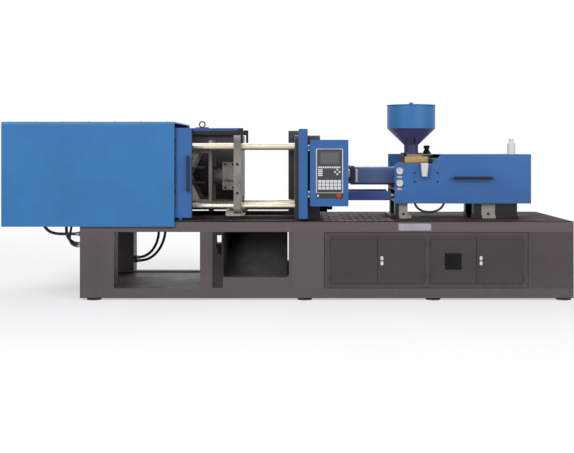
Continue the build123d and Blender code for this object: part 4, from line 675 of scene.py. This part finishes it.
def latheMesh(profile, steps, matrix):
    # profile of (radius, height), closed where the radius is zero
    made = bmesh.new()
    turns = [2 * math.pi * step / steps for step in range(steps)]
    rings = []
    for radius, height in profile:
        if radius == 0:
            places = [(0, 0, height)]
        else:
            places = [(radius * math.cos(turn), radius * math.sin(turn), height) for turn in turns]
        rings.append([made.verts.new(place) for place in places])
    for lower, upper in zip(rings, rings[1:]):
        for step in range(steps):
            after = (step + 1) % steps
            if len(lower) == 1:
                made.faces.new((lower[0], upper[step], upper[after]))
            elif len(upper) == 1:
                made.faces.new((lower[step], lower[after], upper[0]))
            else:
                made.faces.new((lower[step], lower[after], upper[after], upper[step]))
    bmesh.ops.recalc_face_normals(made, faces=made.faces)
    mesh = meshFrom(made, "turned")
    mesh.transform(matrix)
    return mesh


def plateMesh(low, high, bevel, segments=2):
    made = bmesh.new()
    bmesh.ops.create_cube(made, size=1.0)
    for vert in made.verts:
        vert.co = [low[axis] if vert.co[axis] < 0 else high[axis] for axis in range(3)]
    bmesh.ops.bevel(made, geom=made.edges, offset=bevel, segments=segments, affect="EDGES",
                    profile=0.5)
    bmesh.ops.recalc_face_normals(made, faces=made.faces)
    return meshFrom(made, "plate")


def spaced(low, high, margin, count=2):
    first, last = low + margin, high - margin
    return [first + (last - first) * index / (count - 1) for index in range(count)]


# screws round the sheet-metal panels
screwSet = {"Head Radius": 0.0075, "Head Height": 0.0045, "Socket Radius": 0.0038,
            "Finish": zincScrew}
screwGrid = {"guardEnd": 0.07, "guardEdge": 0.045, "guardCounts": (7, 5), "panelEnds": (0.06, 0.07),
             "panelEdge": 0.03, "panelCounts": (10, 5), "coverEnd": 0.05, "coverCount": 6,
             "coverEdges": (0.05, 0.14)}
screws = screwTree(screwShape)
guardLow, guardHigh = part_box("clamp_guard")
panelLow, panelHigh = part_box("cabinet_panels")
coverLow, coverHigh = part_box("injection_cover")
guardXs, guardYs = [spaced(guardLow[axis], guardHigh[axis], screwGrid["guardEnd"], count)
                    for axis, count in enumerate(screwGrid["guardCounts"])]
guardSides, guardRows = [spaced(guardLow[axis], guardHigh[axis], screwGrid["guardEdge"])
                         for axis in (1, 2)]
panelXs, panelYs = [spaced(panelLow[axis], panelHigh[axis], screwGrid["panelEnds"][axis], count)
                    for axis, count in enumerate(screwGrid["panelCounts"])]
panelRows = spaced(panelLow[2], panelHigh[2], screwGrid["panelEdge"])
baseSpots = [((x, guardHigh[1], z), (0, 1, 0)) for x in guardXs for z in guardRows]
baseSpots += [((x, y, guardHigh[2]), (0, 0, 1)) for x in guardXs for y in guardSides]
baseSpots += [((guardLow[0], y, z), (-1, 0, 0)) for y in guardYs for z in guardRows]
baseSpots += [((x, panelHigh[1], z), (0, 1, 0)) for x in panelXs for z in panelRows]
baseSpots += [((panelHigh[0], y, z), (1, 0, 0)) for y in panelYs for z in panelRows]
addPiece("panel_screws_base", growMesh(screws, baseSpots, screwSet), "base")
coverXs = spaced(coverLow[0], coverHigh[0], screwGrid["coverEnd"], screwGrid["coverCount"])
lowEdge, highEdge = screwGrid["coverEdges"]
coverSpots = [((x, coverHigh[1], z), (0, 1, 0)) for x in coverXs
              for z in (coverLow[2] + lowEdge, coverHigh[2] - highEdge)]
addPiece("panel_screws_carriage", growMesh(screws, coverSpots, screwSet), "carriage")
print("screws set:", len(baseSpots) + len(coverSpots))

# white caps on the hinge pins of the control box
hingeSet = {"place": (0.1955, -0.6195), "lows": (0.9635, 1.3916), "height": 0.034}
capSet = {"Head Radius": 0.0098, "Head Height": 0.011, "Socket Radius": 0.0036,
          "Finish": whitePlastic}
capSpots = [((*hingeSet["place"], low), (0, 0, -1)) for low in hingeSet["lows"]]
capSpots += [((*hingeSet["place"], low + hingeSet["height"]), (0, 0, 1))
             for low in hingeSet["lows"]]
addPiece("hinge_caps", growMesh(screws, capSpots, capSet), "base")

# black cap screws on the platen edge, the ejector housing and the carriage legs
blackBolt = steelFinish("blackBolt", srgb(60, 57, 57), srgb(42, 39, 39), (120.0,) * 3, 0.42)
boltSet = {"Head Radius": 0.013, "Head Height": 0.010, "Socket Radius": 0.0065,
           "Finish": blackBolt}
boltPlaces = {"edge": (-0.480, -0.394), "edgeZs": (0.980, 1.254), "housingXs": (-0.612, -0.535),
              "housingY": -0.140, "housingZs": (1.020, 1.248), "legXs": (1.120, 1.940),
              "legY": 0.244, "legZ": 0.770}
platenSpots = [((*boltPlaces["edge"], z), (0, -1, 0)) for z in boltPlaces["edgeZs"]]
platenSpots += [((x, boltPlaces["housingY"], z), (0, -1, 0)) for x in boltPlaces["housingXs"]
                for z in boltPlaces["housingZs"]]
addPiece("platen_bolts", growMesh(screws, platenSpots, boltSet), "platen")
legSpots = [((x, side * boltPlaces["legY"], boltPlaces["legZ"]), (0, side, 0))
            for x in boltPlaces["legXs"] for side in (-1, 1)]
addPiece("leg_bolts", growMesh(screws, legSpots, boltSet), "base")

# raised tread on the deck beside the carriage
treadPaint = paintFinish("treadPaint", srgb(122, 112, 108), srgb(94, 86, 82), srgb(150, 142, 136),
                         rough=0.55, cloud=12.0, gloss=0.08)
treadSet = {"Field Length": 0.60, "Field Depth": 1.10, "Count Long": 10, "Count Deep": 19,
            "Lug Length": 0.040, "Lug Width": 0.010, "Lug Rise": 0.004, "Turn": math.radians(43),
            "Finish": treadPaint}
treadPlace = (0.665, 0.0, 0.728)  # on the deck sheet, between the fixed platen and the carriage
deckTread = growMesh(treadTree(lugShape), [], treadSet, Matrix.Translation(treadPlace))
addPiece("deck_tread", deckTread, "base")

# dark slats in the cabinet vent
ventSet = {"Count": 14, "Pitch": 0.0107, "Slat Length": 0.148, "Slat Depth": 0.009,
           "Slat Sheet": 0.0012, "Tilt": math.radians(38), "Finish": blackPlastic}
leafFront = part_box("cabinet_door_3")[0][1]
ventPlace = (1.528, leafFront - 0.001, 0.2935)  # just proud of the door leaf
ventSlats = growMesh(slatTree(), [], ventSet, Matrix.Translation(ventPlace))
addPiece("vent_slats", ventSlats, "cabinet_door_3")
print("tread and vent made")

# two pressure dials on the carriage cover; the bezel is pairs of inset from the rim and height
dialSet = {"front": -0.294, "rim": 0.033, "steps": 36, "hubSteps": 16,
           "turns": (math.radians(120), math.radians(35)),
           "bezel": [(0.0055, -0.001), (0.0055, 0.0022), (0.004, 0.0036), (0.0012, 0.0036),
                     (0.0, 0.0022), (0.0, -0.001), (0.0055, -0.001)],
           "faceInset": 0.005, "faceHalf": 0.0006, "tickLift": 0.0007,
           "needle": ((-0.006, -0.0009, 0.0009), (0.021, 0.0009, 0.0017)), "needleBevel": 0.0003,
           "hub": [(0, 0.0006), (0.0035, 0.0006), (0.003, 0.0022), (0, 0.0022)]}
tickSet = {"Count": 25, "Dial Radius": 0.0225, "Tick Length": 0.0055, "Tick Width": 0.0009,
           "Tick Rise": 0.0006, "Finish": blackPlastic}
bezels, faces, needles, ticks = [], [], [], []
dialMarks = tickTree(arcShape)
bezelLine = [(dialSet["rim"] - inset, height) for inset, height in dialSet["bezel"]]
faceRadius, faceHalf = dialSet["rim"] - dialSet["faceInset"], dialSet["faceHalf"]
faceLine = [(0, -faceHalf), (faceRadius, -faceHalf), (faceRadius, faceHalf), (0, faceHalf)]
for (dialX, dialZ), turn in zip(coverMarks["gauges"], dialSet["turns"]):
    upright = Matrix.Translation((dialX, dialSet["front"], dialZ))
    upright = upright @ Matrix.Rotation(math.radians(90), 4, "X")
    bezels.append(latheMesh(bezelLine, dialSet["steps"], upright))
    faces.append(latheMesh(faceLine, dialSet["steps"], upright))
    pointer = plateMesh(*dialSet["needle"], dialSet["needleBevel"], 1)
    pointer.transform(upright @ Matrix.Rotation(turn, 4, "Z"))
    needles += [pointer, latheMesh(dialSet["hub"], dialSet["hubSteps"], upright)]
    lifted = upright @ Matrix.Translation((0, 0, dialSet["tickLift"]))
    ticks.append(growMesh(dialMarks, [], tickSet, lifted))
addPiece("dial_bezels", oneMesh(bezels), "carriage", chromePlate)
addPiece("dial_faces", oneMesh(faces), "carriage", dialWhite)
addPiece("dial_needles", oneMesh(needles), "carriage", blackPlastic)
addPiece("dial_ticks", oneMesh(ticks), "carriage", blackPlastic)

# bare plate on the base rail, held by four small rivets
tagSet = {"left": 1.024, "right": 1.325, "low": 0.644, "high": 0.709, "face": -0.625,
          "sheet": 0.0018, "sunk": 0.0004, "bevel": 0.0006, "inset": 0.009}
tagPaint = paintFinish("tagPaint", srgb(176, 172, 182), srgb(160, 156, 166), srgb(120, 116, 118),
                       rough=0.36, cloud=9.0)
rivetSet = {"Head Radius": 0.0036, "Head Height": 0.0016, "Socket Radius": 0.0012,
            "Finish": zincScrew}
tagFront = tagSet["face"] - tagSet["sheet"]
tag = plateMesh((tagSet["left"], tagFront, tagSet["low"]),
                (tagSet["right"], tagSet["face"] + tagSet["sunk"], tagSet["high"]),
                tagSet["bevel"])
addPiece("rail_plate", tag, "base", tagPaint)
rivetSpots = [((x, tagFront, z), (0, -1, 0))
              for x in spaced(tagSet["left"], tagSet["right"], tagSet["inset"])
              for z in spaced(tagSet["low"], tagSet["high"], tagSet["inset"])]
addPiece("rail_plate_rivets", growMesh(screws, rivetSpots, rivetSet), "base")
print("dials and rail plate made")

# rubber seal down the leading edge of the safety door
sealSet = {"x": -0.891, "sunk": 0.0005, "width": 0.004, "front": -0.603, "back": -0.572,
           "low": 0.764, "high": 1.591, "bevel": 0.002, "segments": 3}
seal = plateMesh((sealSet["x"] - sealSet["sunk"], sealSet["front"], sealSet["low"]),
                 (sealSet["x"] + sealSet["width"], sealSet["back"], sealSet["high"]),
                 sealSet["bevel"], sealSet["segments"])
addPiece("door_edge_seal", seal, "front_door", sealRubber)

# crimped ends on the hoses, sized in hose radii
ferruleSize = {"Nut Radius": 1.55, "Nut Length": 0.9, "Sleeve Radius": 1.26, "Sleeve Length": 2.0}
ends = ferruleTree(ferruleShape)
endMeshes = {}
for spec in hoseSet.values():
    route = [Vector((x, spec["y"], z)) for x, z in spec["route"]]
    pairs = ((route[0], route[1] - route[0]), (route[-1], route[-2] - route[-1]))
    spots = [(tuple(place), tuple(along.normalized())) for place, along in pairs]
    values = {label: share * spec["radius"] for label, share in ferruleSize.items()}
    values["Finish"] = zincScrew
    endMeshes.setdefault(spec["body"], []).append(growMesh(ends, spots, values))
for body, meshes in endMeshes.items():
    addPiece("hose_ends_" + body, oneMesh(meshes), body, zincScrew)
print("seal and hose ends made")

# pale floor, soft lamps, and the camera where the picture was taken from
studio = {"ambient": 0.44, "white": (1, 1, 1, 1), "floor": (0.86, 0.86, 0.86, 1.0),
          "floorHalf": 40.0, "floorStretch": (0.45, 1.0, 1.0), "glow": (0.5, 1.0),
          "reach": (2.2, 6.5), "lampSize": 5.0,
          "lamps": [("keyLamp", (-4.5, -7.0, 6.5), 540.0), ("fillLamp", (5.5, -6.5, 4.0), 260.0),
                    ("backLamp", (1.0, 6.0, 6.0), 320.0)],
          "aim": (0.0, 0.0, 0.9), "eye": (-0.007, -8.775, 1.417), "lens": 55.3, "sensor": 36.0,
          "shift": -0.1385}


def seenRays(tree):
    path = tree.nodes.new("ShaderNodeLightPath")
    seen = math2(tree, "MAXIMUM", path.outputs["Is Camera Ray"], path.outputs["Is Glossy Ray"])
    return math2(tree, "MAXIMUM", seen, path.outputs["Is Transmission Ray"])


def setAir(scene, spec):
    world = bpy.data.worlds.new("studioAir")
    scene.world = world
    world.use_nodes = True
    tree = world.node_tree
    tree.nodes.clear()
    strength = ranged(tree, seenRays(tree), 0, 1, spec["ambient"], 1)
    air = put(tree, "ShaderNodeBackground", Color=spec["white"], Strength=strength)
    tree.links.new(air.outputs[0], tree.nodes.new("ShaderNodeOutputWorld").inputs[0])


def floorFinish(spec):
    # dull under the machine, glowing white further out
    material = bpy.data.materials.new("paleFloor")
    material.use_nodes = True
    tree = material.node_tree
    tree.nodes.clear()
    coords = tree.nodes.new("ShaderNodeTexCoord").outputs["Object"]
    coords = put(tree, "ShaderNodeMapping", Vector=coords, Scale=spec["floorStretch"]).outputs[0]
    away = put(tree, "ShaderNodeVectorMath", {"operation": "LENGTH"}, i0=coords).outputs["Value"]
    share = ranged(tree, away, *spec["reach"], *spec["glow"])
    dull = put(tree, "ShaderNodeBsdfDiffuse", Color=spec["floor"])
    glow = put(tree, "ShaderNodeEmission", Color=spec["white"], Strength=seenRays(tree))
    blend = put(tree, "ShaderNodeMixShader", i0=share, i1=dull.outputs[0], i2=glow.outputs[0])
    tree.links.new(blend.outputs[0], tree.nodes.new("ShaderNodeOutputMaterial").inputs[0])
    return material


def layFloor(scene, spec):
    sheet = bpy.data.meshes.new("paleFloor")
    half = spec["floorHalf"]
    corners = [(-half, -half, 0), (half, -half, 0), (half, half, 0), (-half, half, 0)]
    sheet.from_pydata(corners, [], [(0, 1, 2, 3)])
    sheet.materials.append(floorFinish(spec))
    floor = bpy.data.objects.new("paleFloor", sheet)
    scene.collection.objects.link(floor)


def hangLamps(scene, spec):
    for name, place, power in spec["lamps"]:
        lamp = bpy.data.lights.new(name, "AREA")
        lamp.size = spec["lampSize"]
        lamp.energy = power
        holder = bpy.data.objects.new(name, lamp)
        holder.location = place
        aim = Vector(spec["aim"]) - Vector(place)
        holder.rotation_euler = aim.to_track_quat("-Z", "Y").to_euler()
        scene.collection.objects.link(holder)


def setCamera(scene, spec):
    camera = bpy.data.cameras.new("viewCamera")
    camera.lens = spec["lens"]
    camera.sensor_width = spec["sensor"]
    camera.shift_y = spec["shift"]
    eye = bpy.data.objects.new("viewCamera", camera)
    eye.location = spec["eye"]
    eye.rotation_euler = (math.radians(90), 0, 0)
    scene.collection.objects.link(eye)
    scene.camera = eye


bpy.context.scene.view_settings.view_transform = "Standard"
for setUp in (setAir, layFloor, hangLamps, setCamera):
    setUp(bpy.context.scene, studio)
print("stage set")
